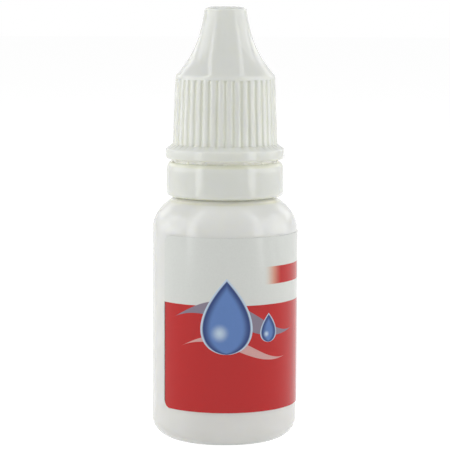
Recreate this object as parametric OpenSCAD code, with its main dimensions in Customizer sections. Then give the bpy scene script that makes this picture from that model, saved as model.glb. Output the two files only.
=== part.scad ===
// Eye drop bottle: a squeezable bottle with a press-in nozzle, a ribbed screw cap on its
// tamper band, and a wrap-round label. The bottle stands on z = 0 and its front faces -Y.

/* [Bottle] */
// Outside diameter of the body
body_d = 25.9; // [22:0.1:34]
// Height of the straight side, from the table up to the rounded shoulder
side_h = 37.3; // [26:0.1:60]
// Width of the shoulder's elliptical round, in from the side
shoulder_w = 9.1; // [8:0.1:10]
// Height of that round, up from the straight side
shoulder_h = 7.15; // [6:0.05:10]
// Radius of the rounded edge at the base
base_round = 3.5; // [2:0.1:5]
// Width of the flat ring that the bottle stands on
foot_w = 1.6; // [0.8:0.1:3]
// Rise of the hollow under the base
push_up_h = 0.8; // [0.5:0.1:2]
// Thickness of the side wall
wall_t = 0.9; // [0.6:0.05:1.5]
// Thickness of the floor
floor_t = 1.1; // [0.8:0.05:2]
// Length of the pinched seam under the base
seam_l = 9; // [4:0.5:13]
// Width of the pinched seam
seam_w = 0.7; // [0.4:0.1:1.5]
// Depth of the pinched seam below the hollow
seam_h = 0.3; // [0.1:0.05:0.4]

/* [Neck] */
// Diameter of the neck under its thread
neck_d = 13; // [12.4:0.1:13.4]
// Diameter of the bore through the neck
neck_bore_d = 10; // [9:0.1:10.6]
// Length of neck that the closed cap covers
neck_in_cap_h = 11.6; // [11:0.1:14]
// Bevel on the edges of the rim
rim_bevel = 0.3; // [0.1:0.05:0.5]
// Height of the bead that holds the tamper ring
bead_h = 1.6; // [1.2:0.1:2.5]
// Height of the straight edge of that bead
bead_edge_h = 0.5; // [0.3:0.05:1]
// Overlap of the bead and the catching lip inside the ring
bead_catch = 0.5; // [0.3:0.05:0.6]
// Pitch of the single-start right-hand thread
thread_pitch = 3; // [2.7:0.1:3.2]
// Height of the thread ridge on the neck and in the cap
thread_depth = 0.8; // [0.6:0.05:0.9]
// Width of a ridge at its root
thread_root_w = 1.5; // [1.2:0.05:1.6]
// Width of a ridge at its crest
thread_crest_w = 0.7; // [0.4:0.05:0.9]
// Number of turns of each ridge
thread_turns = 2; // [1.5:0.25:2]
// Drop from the rim to the middle of the upper end of the thread
thread_drop = 2.6; // [1.6:0.1:3]

/* [Dropper tip] */
// Thickness of the flange that rests on the rim
tip_flange_t = 0.9; // [0.6:0.05:1.5]
// Inset of that flange from the outside of the neck
tip_flange_inset = 0.2; // [0:0.05:0.6]
// Depth of the plug in the neck
plug_h = 6.5; // [5:0.1:8]
// Wall of the plug and of the nozzle
plug_wall_t = 1; // [0.8:0.05:1.2]
// Gap between the plug and the bore
plug_gap = 0.08; // [0.05:0.01:0.15]
// Height of one of the two sealing beads on the plug
seal_bead_h = 0.9; // [0.5:0.05:1.2]
// Gap that is left between a sealing bead and the bore
seal_bead_gap = 0.01; // [0.005:0.005:0.03]
// Height of the nozzle above its flange
nozzle_h = 12; // [10:0.1:14]
// Diameter of the collar at the foot of the nozzle
nozzle_foot_d = 8.6; // [7:0.1:9.4]
// Height of that collar
nozzle_foot_h = 1.5; // [0.8:0.1:3]
// Diameter of the nozzle at its tip
nozzle_tip_d = 3.8; // [3:0.1:4.4]
// Radius of the rounded lip of the tip
nozzle_tip_round = 0.6; // [0.3:0.05:0.7]
// Diameter of the drop channel
channel_d = 0.8; // [0.6:0.05:1.2]
// Length of the drop channel below its cup
channel_l = 2.2; // [1.5:0.1:4]
// Diameter of the drop cup in the tip
cup_d = 2.2; // [1.8:0.05:2.4]
// Depth of the drop cup
cup_h = 1.2; // [0.8:0.05:1.6]

/* [Screw cap] */
// Reach of the flange at the foot of the cap, out from the ribbed skirt
flange_w = 1.25; // [0.8:0.05:1.8]
// Height of the upright edge of the flange
flange_h = 1.9; // [1.2:0.05:2.2]
// Rounding of the edges of the flange
flange_round = 0.4; // [0.1:0.05:0.45]
// Height of the slope between the flange and the ribbed skirt
flange_slope_h = 0.7; // [0.5:0.05:1.2]
// Wall of the ribbed skirt round the threaded bore, above the flange
skirt_wall_t = 1.85; // [1.7:0.05:2.4]
// Height of the cap up to the lip of its bell
skirt_h = 14.2; // [13.6:0.1:17]
// Wall round the bore at the lip between the bell and the skirt
lip_wall_t = 1.42; // [1.4:0.02:1.7]
// Radius of the rounded lip
lip_round = 1.2; // [0.3:0.05:1.3]
// Diameter at which the bell would meet the flat top, were its edge not rounded
cap_top_d = 7.24; // [6.8:0.02:8.4]
// Height of the rounded edge of the top
cap_top_round_h = 0.65; // [0.2:0.05:0.8]
// Width of that edge, which leaves the top slightly domed
cap_top_round_w = 2.3; // [0.6:0.1:2.6]
// Thickness of the top
cap_top_t = 1.5; // [1:0.05:2.4]
// Wall of the bell
cap_wall_t = 1.1; // [0.9:0.05:1.3]
// Number of grooves round the skirt
groove_count = 40; // [24:1:44]
// Width of a groove, which is twice its depth
groove_w = 0.66; // [0.4:0.02:0.8]
// Land between the top of a groove and the lip
groove_top_gap = 0.05; // [0.05:0.05:1]
// How far a groove runs on down into the flange's slope
groove_foot_l = 0.3; // [0.05:0.05:0.4]
// Gap between the crest of a ridge and the wall that it faces
thread_gap = 0.2; // [0.12:0.01:0.3]
// Play between the flanks that meet when the cap is closed
thread_play = 0.12; // [0.08:0.01:0.3]
// Bevel at the mouth of the cap
mouth_bevel = 0.8; // [0.3:0.05:1]
// Height of the boss that closes on the tip
boss_h = 0.9; // [0.6:0.05:1.5]
// Diameter of that boss
boss_d = 3.2; // [2.8:0.1:3.6]
// Gap between the closed boss and the tip
boss_gap = 0.1; // [0.05:0.01:0.2]
// Reach of the sealing pin into the channel, below the drop cup
pin_l = 0.8; // [0.4:0.05:1.2]
// Gap between the sealing pin and the channel
pin_gap = 0.07; // [0.05:0.01:0.1]

/* [Tamper ring] */
// Inset of the outside of the ring from the cap's flange
ring_inset = 0.15; // [0.05:0.05:0.4]
// Height of the ring
ring_h = 6.15; // [5.2:0.05:8]
// Width of the rounding of its top edge
ring_round_w = 0.9; // [0.4:0.05:1.1]
// Height of that rounding
ring_round_h = 1.6; // [0.5:0.1:2]
// Radius of the rounding of its bottom edge
ring_foot_round = 0.75; // [0.2:0.05:0.8]
// Width of the flat under the ring
ring_foot_w = 0.3; // [0.2:0.05:0.6]
// Thickness of the ring above its catching lip
ring_wall_t = 2; // [1.8:0.05:2.1]
// Height of the straight face of the catching lip
ring_lip_h = 0.5; // [0.3:0.05:0.8]
// Running gap between the ring and the neck's bead
ring_gap = 0.38; // [0.3:0.01:0.5]
// Gap from the shoulder up to the ring
ring_lift = 0.5; // [0.3:0.05:0.8]
// Gap between the ring and the cap, which the bridges span
bridge_h = 0.53; // [0.45:0.01:1.2]
// Number of bridges
bridge_count = 16; // [8:1:24]
// Width of a bridge
bridge_w = 0.9; // [0.4:0.05:1.2]
// Thickness of a bridge
bridge_t = 0.6; // [0.4:0.05:0.8]
// How far the bridges stand in from the ring's rounded top edge
bridge_inset = 0.05; // [0.03:0.01:0.2]
// Thickness of the thin web between the bridges
web_t = 0.3; // [0.2:0.05:0.4]
// How far the web stands in from the outer faces of the bridges
web_inset = 0.15; // [0.05:0.05:0.3]
// Hairline at the top of the bridges and web, where they part from the cap
bridge_part_gap = 0.05; // [0.03:0.01:0.08]

/* [Label] */
// Thickness of the film
label_t = 0.1; // [0.08:0.01:0.15]
// Thickness of the adhesive under it
label_glue_t = 0.03; // [0.02:0.005:0.04]
// Gap from the rounded base edge up to the label
label_low_gap = 2.95; // [1:0.05:5]
// Gap from the label up to the rounded shoulder
label_top_gap = 0.05; // [0:0.05:3]
// Radius of the label's corners
label_corner = 1.5; // [0.5:0.1:3]
// Angle from the front to the label's left edge
label_left_a = 54; // [40:1:80]
// Angle of bottle that the label leaves bare
label_bare_a = 45; // [20:1:90]

/* [Hidden] */
$fn = 96;
arc_steps = 14; // straight steps in each rounded stretch of an outline
bell_steps = 28; // straight steps down the outline of the bell
turn_steps = 30; // steps in one turn of a thread ridge
fade_steps = 4; // steps over which a ridge runs out at each end
thread_sink = 0.3; // depth that the foot of a ridge is sunk in its wall
bridge_sink = 0.3; // depth that the foot of a bridge and of the web is sunk in the ring
cut_over = 0.5; // overrun of a cutter past the face that it cuts
corner_over = 0.02; // reach of a label corner's round past the film's straight edges
bell_cubic_share = 0.6; // part of the bell's flare that grows as the cube of the depth
nozzle_bead_shares = [0.25, 0.7]; // places of the sealing beads along the plug
bead_edge_share = 0.5; // straight part of a sealing bead
ridge_corners = 4; // corners of a thread ridge, seen along it

body_r = body_d / 2;
neck_r = neck_d / 2;
bore_r = neck_bore_d / 2;
shoulder_c = body_r - shoulder_w;
// Height of the outside of the shoulder at radius r
function shoulder_z(r) = side_h + shoulder_h * sqrt(1 - ((r - shoulder_c) / shoulder_w) ^ 2);

// The cap is built out from the neck that it screws on, and the ring follows its flange
cap_bore_r = neck_r + thread_depth + thread_gap;
skirt_r = cap_bore_r + skirt_wall_t;
lip_r = cap_bore_r + lip_wall_t;
flange_r = skirt_r + flange_w;

ring_r = flange_r - ring_inset;
ring_bore_r = ring_r - ring_wall_t;
bead_r = ring_bore_r - ring_gap;
ring_lip_r = bead_r - bead_catch;
ring_foot_r = ring_r - ring_foot_round - ring_foot_w;
ring_z = shoulder_z(ring_foot_r) + ring_lift;
ring_lip_z = shoulder_z(ring_lip_r) + ring_lift;
ring_lip_top = ring_lip_z + ring_lip_h;
// The lip's top slopes up and out to the ring's bore, and the bead rests above that slope
ring_shelf_z = ring_lip_top + (ring_bore_r - ring_lip_r) / 2;
ring_top = ring_z + ring_h;
bead_z = ring_shelf_z + ring_gap;

cap_z = ring_top + bridge_h;
neck_top = cap_z + neck_in_cap_h;
nozzle_z = neck_top + tip_flange_t;
tip_z = nozzle_z + nozzle_h;
roof_z = tip_z + boss_gap + boss_h;
cap_top = roof_z + cap_top_t;
lip_z = cap_z + skirt_h;

// The bell's curve ends where the rounded lip leans by half a right angle
bell_end_r = lip_r - lip_round * (1 - cos(45));
bell_end_z = lip_z + lip_round * sin(45);
bell_h = cap_top - bell_end_z;
// Radius of the bell where it is u of its height below the top: part straight, part cubic
function bell_r(u) = cap_top_d / 2
    + (bell_end_r - cap_top_d / 2) * ((1 - bell_cubic_share) * u + bell_cubic_share * u ^ 3);
function bell_u(z) = (cap_top - z) / bell_h;
// Radius of the hollow inside the cap at height z: an even wall, down to the threaded bore
function hollow_r(z) = z <= bell_end_z ? cap_bore_r
    : min(cap_bore_r, bell_r(bell_u(z)) - cap_wall_t);

thread_slope = (thread_root_w - thread_crest_w) / 2 / thread_depth;
neck_thread_z = neck_top - thread_drop - thread_turns * thread_pitch;
// Flanks face each other where the two ridges overlap, so their half widths add up there
flank_w = thread_root_w - thread_slope * (thread_depth - thread_gap);
cap_thread_z = neck_thread_z - flank_w - thread_play;

label_r = body_r + label_glue_t;
label_z = base_round + label_low_gap;
label_h = side_h - label_top_gap - label_z;
label_start_a = -90 - label_left_a;
label_span_a = 360 - label_bare_a;

// Points on an elliptical arc from angle a0 to angle a1
function oval(x, z, w, h, a0, a1) = [for (i = [0:arc_steps])
    let (a = a0 + (a1 - a0) * i / arc_steps) [x + w * cos(a), z + h * sin(a)]];
// Points on a round arc
function arc(x, z, r, a0, a1) = oval(x, z, r, r, a0, a1);

// Reach of a ridge above its wall at step i, which starts and ends inside the wall
function ridge_reach(i, steps) = let (fade = min(1, i / fade_steps, (steps - i) / fade_steps))
    -thread_sink / 2 + (thread_depth + thread_sink / 2) * fade;

// A right-hand ridge on a wall of radius r: out = 1 stands outwards and -1 inwards
module thread_ridge(r, z, out) {
    steps = round(thread_turns * turn_steps);
    foot_w = thread_root_w / 2 + thread_slope * thread_sink;
    points = [for (i = [0:steps])
        let (a = 360 * i / turn_steps,
             mid = z + thread_pitch * i / turn_steps,
             reach = ridge_reach(i, steps),
             crest_w = thread_root_w / 2 - thread_slope * reach)
        for (p = [[-thread_sink, -foot_w], [reach, -crest_w], [reach, crest_w], [-thread_sink, foot_w]])
            [(r + out * p[0]) * cos(a), (r + out * p[0]) * sin(a), mid + p[1]]];
    sides = [for (i = [0:steps - 1], k = [0:ridge_corners - 1])
        let (a = ridge_corners * i + k,
             b = ridge_corners * i + (k + 1) % ridge_corners,
             c = b + ridge_corners,
             d = a + ridge_corners)
        each [[a, b, c], [a, c, d]]];
    low_end = [for (k = [0:ridge_corners - 1]) ridge_corners - 1 - k];
    top_end = [for (k = [0:ridge_corners - 1]) ridge_corners * steps + k];
    faces = concat(sides, [low_end, top_end]);
    polyhedron(points, out > 0 ? faces : [for (f = faces) [for (k = [len(f) - 1:-1:0]) f[k]]]);
}

module bottle() {
    foot_r = body_r - base_round;
    foot_in_r = foot_r - foot_w;
    hollow_r0 = foot_in_r - push_up_h;
    in_w = shoulder_w - wall_t;
    in_h = shoulder_h - wall_t;
    top_a = acos((neck_r - shoulder_c) / shoulder_w);
    in_top_a = acos((bore_r - shoulder_c) / in_w);
    outside = concat(
        [[0, push_up_h], [hollow_r0, push_up_h], [foot_in_r, 0]],
        arc(foot_r, base_round, base_round, -90, 0),
        oval(shoulder_c, side_h, shoulder_w, shoulder_h, 0, top_a),
        [[neck_r, bead_z], [bead_r, bead_z], [bead_r, bead_z + bead_edge_h], [neck_r, bead_z + bead_h],
         [neck_r, neck_top - rim_bevel], [neck_r - rim_bevel, neck_top]]);
    inside = concat(
        [[bore_r + rim_bevel, neck_top], [bore_r, neck_top - rim_bevel]],
        oval(shoulder_c, side_h, in_w, in_h, in_top_a, 0),
        arc(foot_r, base_round, base_round - wall_t, 0, -90),
        [[foot_in_r, wall_t], [hollow_r0, push_up_h + floor_t], [0, push_up_h + floor_t]]);
    color([0.91, 0.92, 0.90]) union() {
        rotate_extrude() polygon(concat(outside, inside));
        thread_ridge(neck_r, neck_thread_z, 1);
        // The seam that the mould pinched across the hollow under the base
        translate([-seam_l / 2, -seam_w / 2, push_up_h - seam_h])
            cube([seam_l, seam_w, seam_h + floor_t / 2]);
    }
}

module dropper_tip() {
    plug_r = bore_r - plug_gap;
    bead_out_r = bore_r - seal_bead_gap;
    plug_z = neck_top - plug_h;
    in_r = plug_r - plug_wall_t;
    foot_r = nozzle_foot_d / 2;
    tip_r = nozzle_tip_d / 2;
    channel_r = channel_d / 2;
    channel_z = tip_z - cup_h - channel_l;
    lean = seal_bead_h * (1 - bead_edge_share) / 2;
    beads = [for (share = nozzle_bead_shares)
        let (z = plug_z + plug_h * share)
        each [[plug_r, z], [bead_out_r, z + lean], [bead_out_r, z + seal_bead_h - lean],
              [plug_r, z + seal_bead_h]]];
    outside = concat(
        [[in_r, plug_z], [plug_r - rim_bevel, plug_z], [plug_r, plug_z + rim_bevel]],
        beads,
        [[plug_r, neck_top], [neck_r - tip_flange_inset, neck_top],
         [neck_r - tip_flange_inset, nozzle_z], [foot_r, nozzle_z], [foot_r, nozzle_z + nozzle_foot_h]],
        arc(tip_r - nozzle_tip_round, tip_z - nozzle_tip_round, nozzle_tip_round, 0, 90));
    inside = [[cup_d / 2, tip_z], [channel_r, tip_z - cup_h], [channel_r, channel_z],
        [foot_r - plug_wall_t, nozzle_z], [in_r, neck_top]];
    color([0.90, 0.91, 0.89]) rotate_extrude() polygon(concat(outside, inside));
}

module cap_grooves() {
    // Each groove runs up the leaning face of the skirt, with its axis on that face, and one
    // of them runs up the middle of the front
    low_z = cap_z + flange_h + flange_slope_h;
    lean = atan((skirt_r - lip_r) / (lip_z - low_z));
    groove_l = (lip_z - groove_top_gap - low_z) / cos(lean);
    for (i = [0:groove_count - 1])
        rotate([0, 0, 360 * i / groove_count])
            translate([skirt_r, 0, low_z])
                rotate([0, -lean, 0])
                    translate([0, 0, -groove_foot_l])
                        cylinder(h = groove_foot_l + groove_l, d = groove_w);
}

module screw_cap() {
    slope_z = cap_z + flange_h;
    top_u = cap_top_round_h / bell_h;
    top_r = bell_r(top_u) - cap_top_round_w;
    outside = concat(
        arc(flange_r - flange_round, cap_z + flange_round, flange_round, -90, 0),
        arc(flange_r - flange_round, slope_z - flange_round, flange_round, 0, 45),
        [[skirt_r, slope_z + flange_slope_h]],
        arc(lip_r - lip_round, lip_z, lip_round, 0, 45),
        [for (i = [1:bell_steps - 1])
            let (u = 1 - (1 - top_u) * i / bell_steps)
            [bell_r(u), cap_top - bell_h * u]],
        oval(top_r, cap_top - cap_top_round_h, cap_top_round_w, cap_top_round_h, 0, 90));
    inside = concat(
        [for (i = [0:bell_steps])
            let (z = roof_z + (bell_end_z - roof_z) * i / bell_steps) [hollow_r(z), z]],
        [[cap_bore_r, cap_z + mouth_bevel], [cap_bore_r + mouth_bevel, cap_z]]);
    boss_z = tip_z + boss_gap;
    pin_r = channel_d / 2 - pin_gap;
    pin_top_r = cup_d / 2 - boss_gap;
    boss = [[0, tip_z - cup_h - pin_l], [pin_r, tip_z - cup_h - pin_l], [pin_r, tip_z - cup_h + boss_gap],
        [pin_top_r, boss_z], [boss_d / 2, boss_z], [boss_d / 2, roof_z]];
    color([0.92, 0.93, 0.91]) union() {
        difference() {
            rotate_extrude() polygon(concat([[0, cap_top]], boss, inside, outside));
            cap_grooves();
        }
        thread_ridge(cap_bore_r, cap_thread_z, -1);
    }
}

module tamper_ring() {
    outline = concat(
        [[ring_bore_r, ring_shelf_z], [ring_lip_r, ring_lip_top],
         [ring_lip_r, ring_lip_z], [ring_foot_r, ring_z]],
        arc(ring_r - ring_foot_round, ring_z + ring_foot_round, ring_foot_round, -90, 0),
        oval(ring_r - ring_round_w, ring_top - ring_round_h, ring_round_w, ring_round_h, 0, 90),
        [[ring_bore_r, ring_top]]);
    bridge_out_r = ring_r - ring_round_w - bridge_inset;
    bridge_z = ring_top - bridge_sink;
    sunk_bridge_h = bridge_sink + bridge_h - bridge_part_gap;
    color([0.92, 0.93, 0.91]) union() {
        rotate_extrude() polygon(outline);
        rotate_extrude()
            translate([bridge_out_r - web_inset - web_t, bridge_z]) square([web_t, sunk_bridge_h]);
        for (i = [0:bridge_count - 1])
            rotate([0, 0, 360 * i / bridge_count])
                translate([bridge_out_r - bridge_t, -bridge_w / 2, bridge_z])
                    cube([bridge_t, bridge_w, sunk_bridge_h]);
    }
}

// The sharp corner that rounding takes off, cut straight through the film
module corner_cut() {
    translate([label_r - cut_over, 0, 0])
        rotate([90, 0, 90])
            linear_extrude(label_t + 2 * cut_over)
                difference() {
                    translate([-cut_over, -cut_over]) square(label_corner + cut_over);
                    translate([label_corner, label_corner]) circle(label_corner + corner_over);
                }
}

module label() {
    color([0.72, 0.22, 0.21]) difference() {
        rotate([0, 0, label_start_a])
            rotate_extrude(angle = label_span_a)
                translate([label_r, label_z]) square([label_t, label_h]);
        for (end = [0, 1], top = [0, 1])
            rotate([0, 0, label_start_a + end * label_span_a])
                translate([0, 0, label_z + top * label_h])
                    mirror([0, end, 0]) mirror([0, 0, top]) corner_cut();
    }
}

bottle();
dropper_tip();
screw_cap();
tamper_ring();
label();
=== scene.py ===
"""Eye drop bottle: mouldings, printed label and studio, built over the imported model.

Every size is in millimetres and every finished mesh is in metres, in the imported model's frame:
+Z runs up the bottle's axis and the front of the label faces -Y.
"""

import logging
import math
from abc import ABC, abstractmethod
from collections.abc import Mapping, Sequence
from dataclasses import dataclass, replace
from enum import Enum
from functools import partial
from typing import ClassVar

import bmesh
import bpy
import numpy as np
from mathutils import Euler, Matrix, Vector


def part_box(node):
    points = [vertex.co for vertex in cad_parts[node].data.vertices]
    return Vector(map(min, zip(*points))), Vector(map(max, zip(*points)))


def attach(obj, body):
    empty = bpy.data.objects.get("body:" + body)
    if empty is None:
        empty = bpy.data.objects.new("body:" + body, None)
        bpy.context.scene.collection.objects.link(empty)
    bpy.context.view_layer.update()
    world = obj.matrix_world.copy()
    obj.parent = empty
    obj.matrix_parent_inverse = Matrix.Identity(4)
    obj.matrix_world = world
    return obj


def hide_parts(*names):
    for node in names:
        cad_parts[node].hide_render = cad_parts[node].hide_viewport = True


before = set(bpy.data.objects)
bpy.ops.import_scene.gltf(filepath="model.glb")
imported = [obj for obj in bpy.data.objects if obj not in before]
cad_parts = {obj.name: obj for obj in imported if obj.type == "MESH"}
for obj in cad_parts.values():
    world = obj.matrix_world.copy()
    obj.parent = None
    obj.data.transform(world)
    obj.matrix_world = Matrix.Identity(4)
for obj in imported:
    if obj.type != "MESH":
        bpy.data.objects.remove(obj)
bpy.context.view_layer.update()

LOG = logging.getLogger("eye_drop_bottle")
Array = np.ndarray
Socket = bpy.types.NodeSocket
MM = 0.001
# Points nearer than this, in metres, become one
MERGE_L = 1e-7
# A length in mm or a sine under this counts as nothing
TINY = 1e-9
WHITE = "#FFFFFF"
# Noise keeps mostly between these values
NOISE_SPAN = {"From Min": 0.3, "From Max": 0.7}
# Numbers of the inputs and the output of a Mix node that mixes colours
MIX_SHARE, MIX_UNDER, MIX_OVER, MIX_RESULT = 0, 6, 7, 2
# Width of a printed shape's soft edge, and how far inside the shape its middle lies, in mm
EDGE_SOFT, EDGE_IN = 0.07, 0.04
# Mark of places beside a gap, halfway between an open face and the inside of the gap, where the
# painted rim light is full and the painted gap light starts
RIM_MARK = 0.5


# Colours and nodes


def linear(srgb_hex: str) -> tuple[float, float, float, float]:
    """Turn an sRGB colour into linear light.

    Args:
        srgb_hex: The colour as #RRGGBB.

    Returns:
        Red, green, blue and an alpha of one.
    """
    value = np.array([int(srgb_hex[i:i + 2], 16) for i in (1, 3, 5)]) / 255
    value = np.where(value <= 0.04045, value / 12.92, ((value + 0.055) / 1.055) ** 2.4)
    return (*value.tolist(), 1.0)


def add_node(
    tree: bpy.types.NodeTree,
    kind: str,
    inputs: Mapping[str | int, object] | Sequence[object] = (),
    output: str | int = 0,
    **settings: object,
) -> Socket:
    """Add a node, set it up and fill its inputs.

    Args:
        tree: Tree that takes the node.
        kind: Blender's type name after ShaderNode, such as Math.
        inputs: What feeds each input, a socket or a value, by name or number or in order.
        output: Name or number of the output that is wanted.
        **settings: Properties of the node itself.

    Returns:
        The wanted output, or the node's first input where it has no outputs.
    """
    node = tree.nodes.new("ShaderNode" + kind)
    for name, value in settings.items():
        setattr(node, name, value)
    pairs = inputs.items() if isinstance(inputs, Mapping) else enumerate(inputs)
    for name, value in pairs:
        if isinstance(value, Socket):
            tree.links.new(value, node.inputs[name])
        else:
            node.inputs[name].default_value = value
    return node.outputs[output] if len(node.outputs) else node.inputs[0]


def new_material(name: str) -> tuple[bpy.types.Material, bpy.types.NodeTree]:
    """Make a material with an empty node tree, and return both.

    Args:
        name: Name of the material.

    Returns:
        The material and its tree.
    """
    material = bpy.data.materials.new(name)
    material.use_nodes = True
    material.node_tree.nodes.clear()
    return material, material.node_tree


# Outlines, in mm: rows of (radius, height)


def oval(
    x: float, z: float, w: float, h: float, start: float, end: float, steps: int = 18
) -> Array:
    """Part of an ellipse.

    At angle a the point lies w cos a out from the centre and h sin a above it.

    Args:
        x: Radius of the centre.
        z: Height of the centre.
        w: Half width of the ellipse.
        h: Half height of the ellipse.
        start: First angle in degrees.
        end: Last angle in degrees.
        steps: Straight steps between them.

    Returns:
        The points, (steps + 1, 2).
    """
    a = np.radians(np.linspace(start, end, steps + 1))
    return np.stack([x + w * np.cos(a), z + h * np.sin(a)], 1)


def join(*parts: Array | Sequence[Sequence[float]]) -> Array:
    """Join parts of an outline into one, (n, 2)."""
    return np.concatenate([np.asarray(part, float) for part in parts])


def ramp(value: Array, start: float, end: float) -> Array:
    """Rise evenly from zero, where a value is at its start, to one at its end."""
    return np.clip((value - start) / (end - start), 0, 1)


def soften(outline: Array, radius: float, closed: bool = False, steps: int = 5) -> Array:
    """Round the sharp corners of an outline.

    With A and B on the two sides of corner P, at the tangent's length radius tan(turn / 2),
    the corner becomes (1-t)^2 A + 2t(1-t) P + t^2 B. One more point on each side, a little
    farther out, keeps the shading of the long sides flat.

    Args:
        outline: Points, (n, 2).
        radius: Radius of the rounding, less where the sides are short.
        closed: Whether the last point joins the first.
        steps: Straight steps in one rounded corner.

    Returns:
        The rounded outline, without repeated points.
    """
    back, ahead = np.roll(outline, 1, 0) - outline, np.roll(outline, -1, 0) - outline
    back_l, ahead_l = (np.maximum(np.linalg.norm(v, axis=1), TINY) for v in (back, ahead))
    back, ahead = back / back_l[:, None], ahead / ahead_l[:, None]
    turn = np.pi - np.arccos(np.clip((back * ahead).sum(1), -1, 1))
    room = np.minimum(back_l, ahead_l)
    least_turn, most_turn, least_step = math.radians(22), math.radians(160), 1e-5
    curve_share, support_share, support_reach = 0.36, 0.48, 1.5
    reach = np.minimum(radius * np.tan(np.minimum(turn, most_turn) / 2), curve_share * room)
    reach = np.where(turn > least_turn, reach, 0)
    if not closed:
        reach[[0, -1]] = 0
    support = np.minimum(support_reach * reach, support_share * room)[:, None, None]
    reach = reach[:, None, None]
    t = np.linspace(0, 1, steps + 1)[None, :, None]
    corner, back, ahead = outline[:, None], back[:, None], ahead[:, None]
    curve = corner + (1 - t) ** 2 * reach * back + t**2 * reach * ahead
    rows = np.concatenate([corner + support * back, curve, corner + support * ahead], 1)
    flat = rows.reshape(-1, 2)
    step = np.linalg.norm(flat - np.roll(flat, 1, 0), axis=1)
    if not closed:
        step[0] = 1
    return flat[step > least_step]


def even_turn(count: int) -> Array:
    """Angles of the columns of a full turn, in radians, the first at +X."""
    return np.arange(count) * (2 * np.pi / count)


# Skins and meshes


@dataclass
class Skin:
    """A grid of points in mm, rows by columns, that carries one surface.

    Args:
        points: The grid, (rows, columns, 3), whose last column joins the first.
        rows_meet: Whether the last row joins the first too.
        marks: How deep each point lies in a groove or gap, from zero to one, which sets the painted
            light there, or None.
    """

    points: Array
    rows_meet: bool = False
    marks: Array | None = None

    def quads(self, start: int) -> Array:
        """Corners of the faces between neighbouring rows and columns.

        Args:
            start: Number of the skin's first point in its mesh.

        Returns:
            Point numbers, (faces, 4).
        """
        rows, columns = self.points.shape[:2]
        i = np.arange(rows if self.rows_meet else rows - 1)[:, None]
        j = np.arange(columns)[None, :]
        up, along = (i + 1) % rows, (j + 1) % columns
        corners = (i * columns + j, i * columns + along, up * columns + along, up * columns + j)
        return start + np.stack(np.broadcast_arrays(*corners), -1).reshape(-1, 4)


def lathe(outline: Array, turns: Array, closed: bool = False, dent: Array | None = None) -> Skin:
    """Turn an outline round the bottle's axis.

    A point of the outline at radius r and height z, seen at angle a, lies at
    ((r - dent) cos a, (r - dent) sin a, z).

    Args:
        outline: Radius and height of each row, (rows, 2).
        turns: Angle of each column in radians.
        closed: Whether the outline's last point joins its first.
        dent: How far each point lies inside the outline, (rows, columns), or None.

    Returns:
        The skin.
    """
    r = outline[:, :1] - (0 if dent is None else dent)
    x, y = r * np.cos(turns), r * np.sin(turns)
    z = np.broadcast_to(outline[:, 1:], x.shape)
    return Skin(np.stack([x, y, z], -1), rows_meet=closed)


def rounded_block(centre: Sequence[float], size: Sequence[float], top_share: float = 1.0) -> Skin:
    """A block with rounded edges, narrowed towards its top.

    Longitude a and latitude b give the point (c(b) c(a), c(b) s(a), s(b)) times half the size,
    where c and s are cosine and sine raised to a small power that keeps their sign.

    Args:
        centre: Middle of the block.
        size: Its length along X, Y and Z.
        top_share: Width at the top as a share of the width at the foot.

    Returns:
        The skin, closed at both poles.
    """
    power, columns, rows = 0.4, 24, 13
    a = even_turn(columns)[None, :]
    b = np.radians(np.linspace(-90, 90, rows))[:, None]
    wave = [np.cos(a), np.sin(a), np.cos(b), np.sin(b)]
    wave[2] = np.where(np.abs(wave[2]) < TINY, 0, wave[2])
    c_a, s_a, c_b, s_b = (np.sign(w) * np.abs(w) ** power for w in wave)
    width = 1 + (top_share - 1) * (s_b + 1) / 2
    unit = np.stack(np.broadcast_arrays(c_b * c_a * width, c_b * s_a * width, s_b + 0 * a), -1)
    return Skin(np.asarray(centre) + unit * np.asarray(size) / 2)


def turned(skin: Skin, angle: float) -> Skin:
    """The same skin turned round the bottle's axis by an angle in radians."""
    c, s = math.cos(angle), math.sin(angle)
    return Skin(skin.points @ np.array([[c, s, 0], [-s, c, 0], [0, 0, 1]]), marks=skin.marks)


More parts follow.
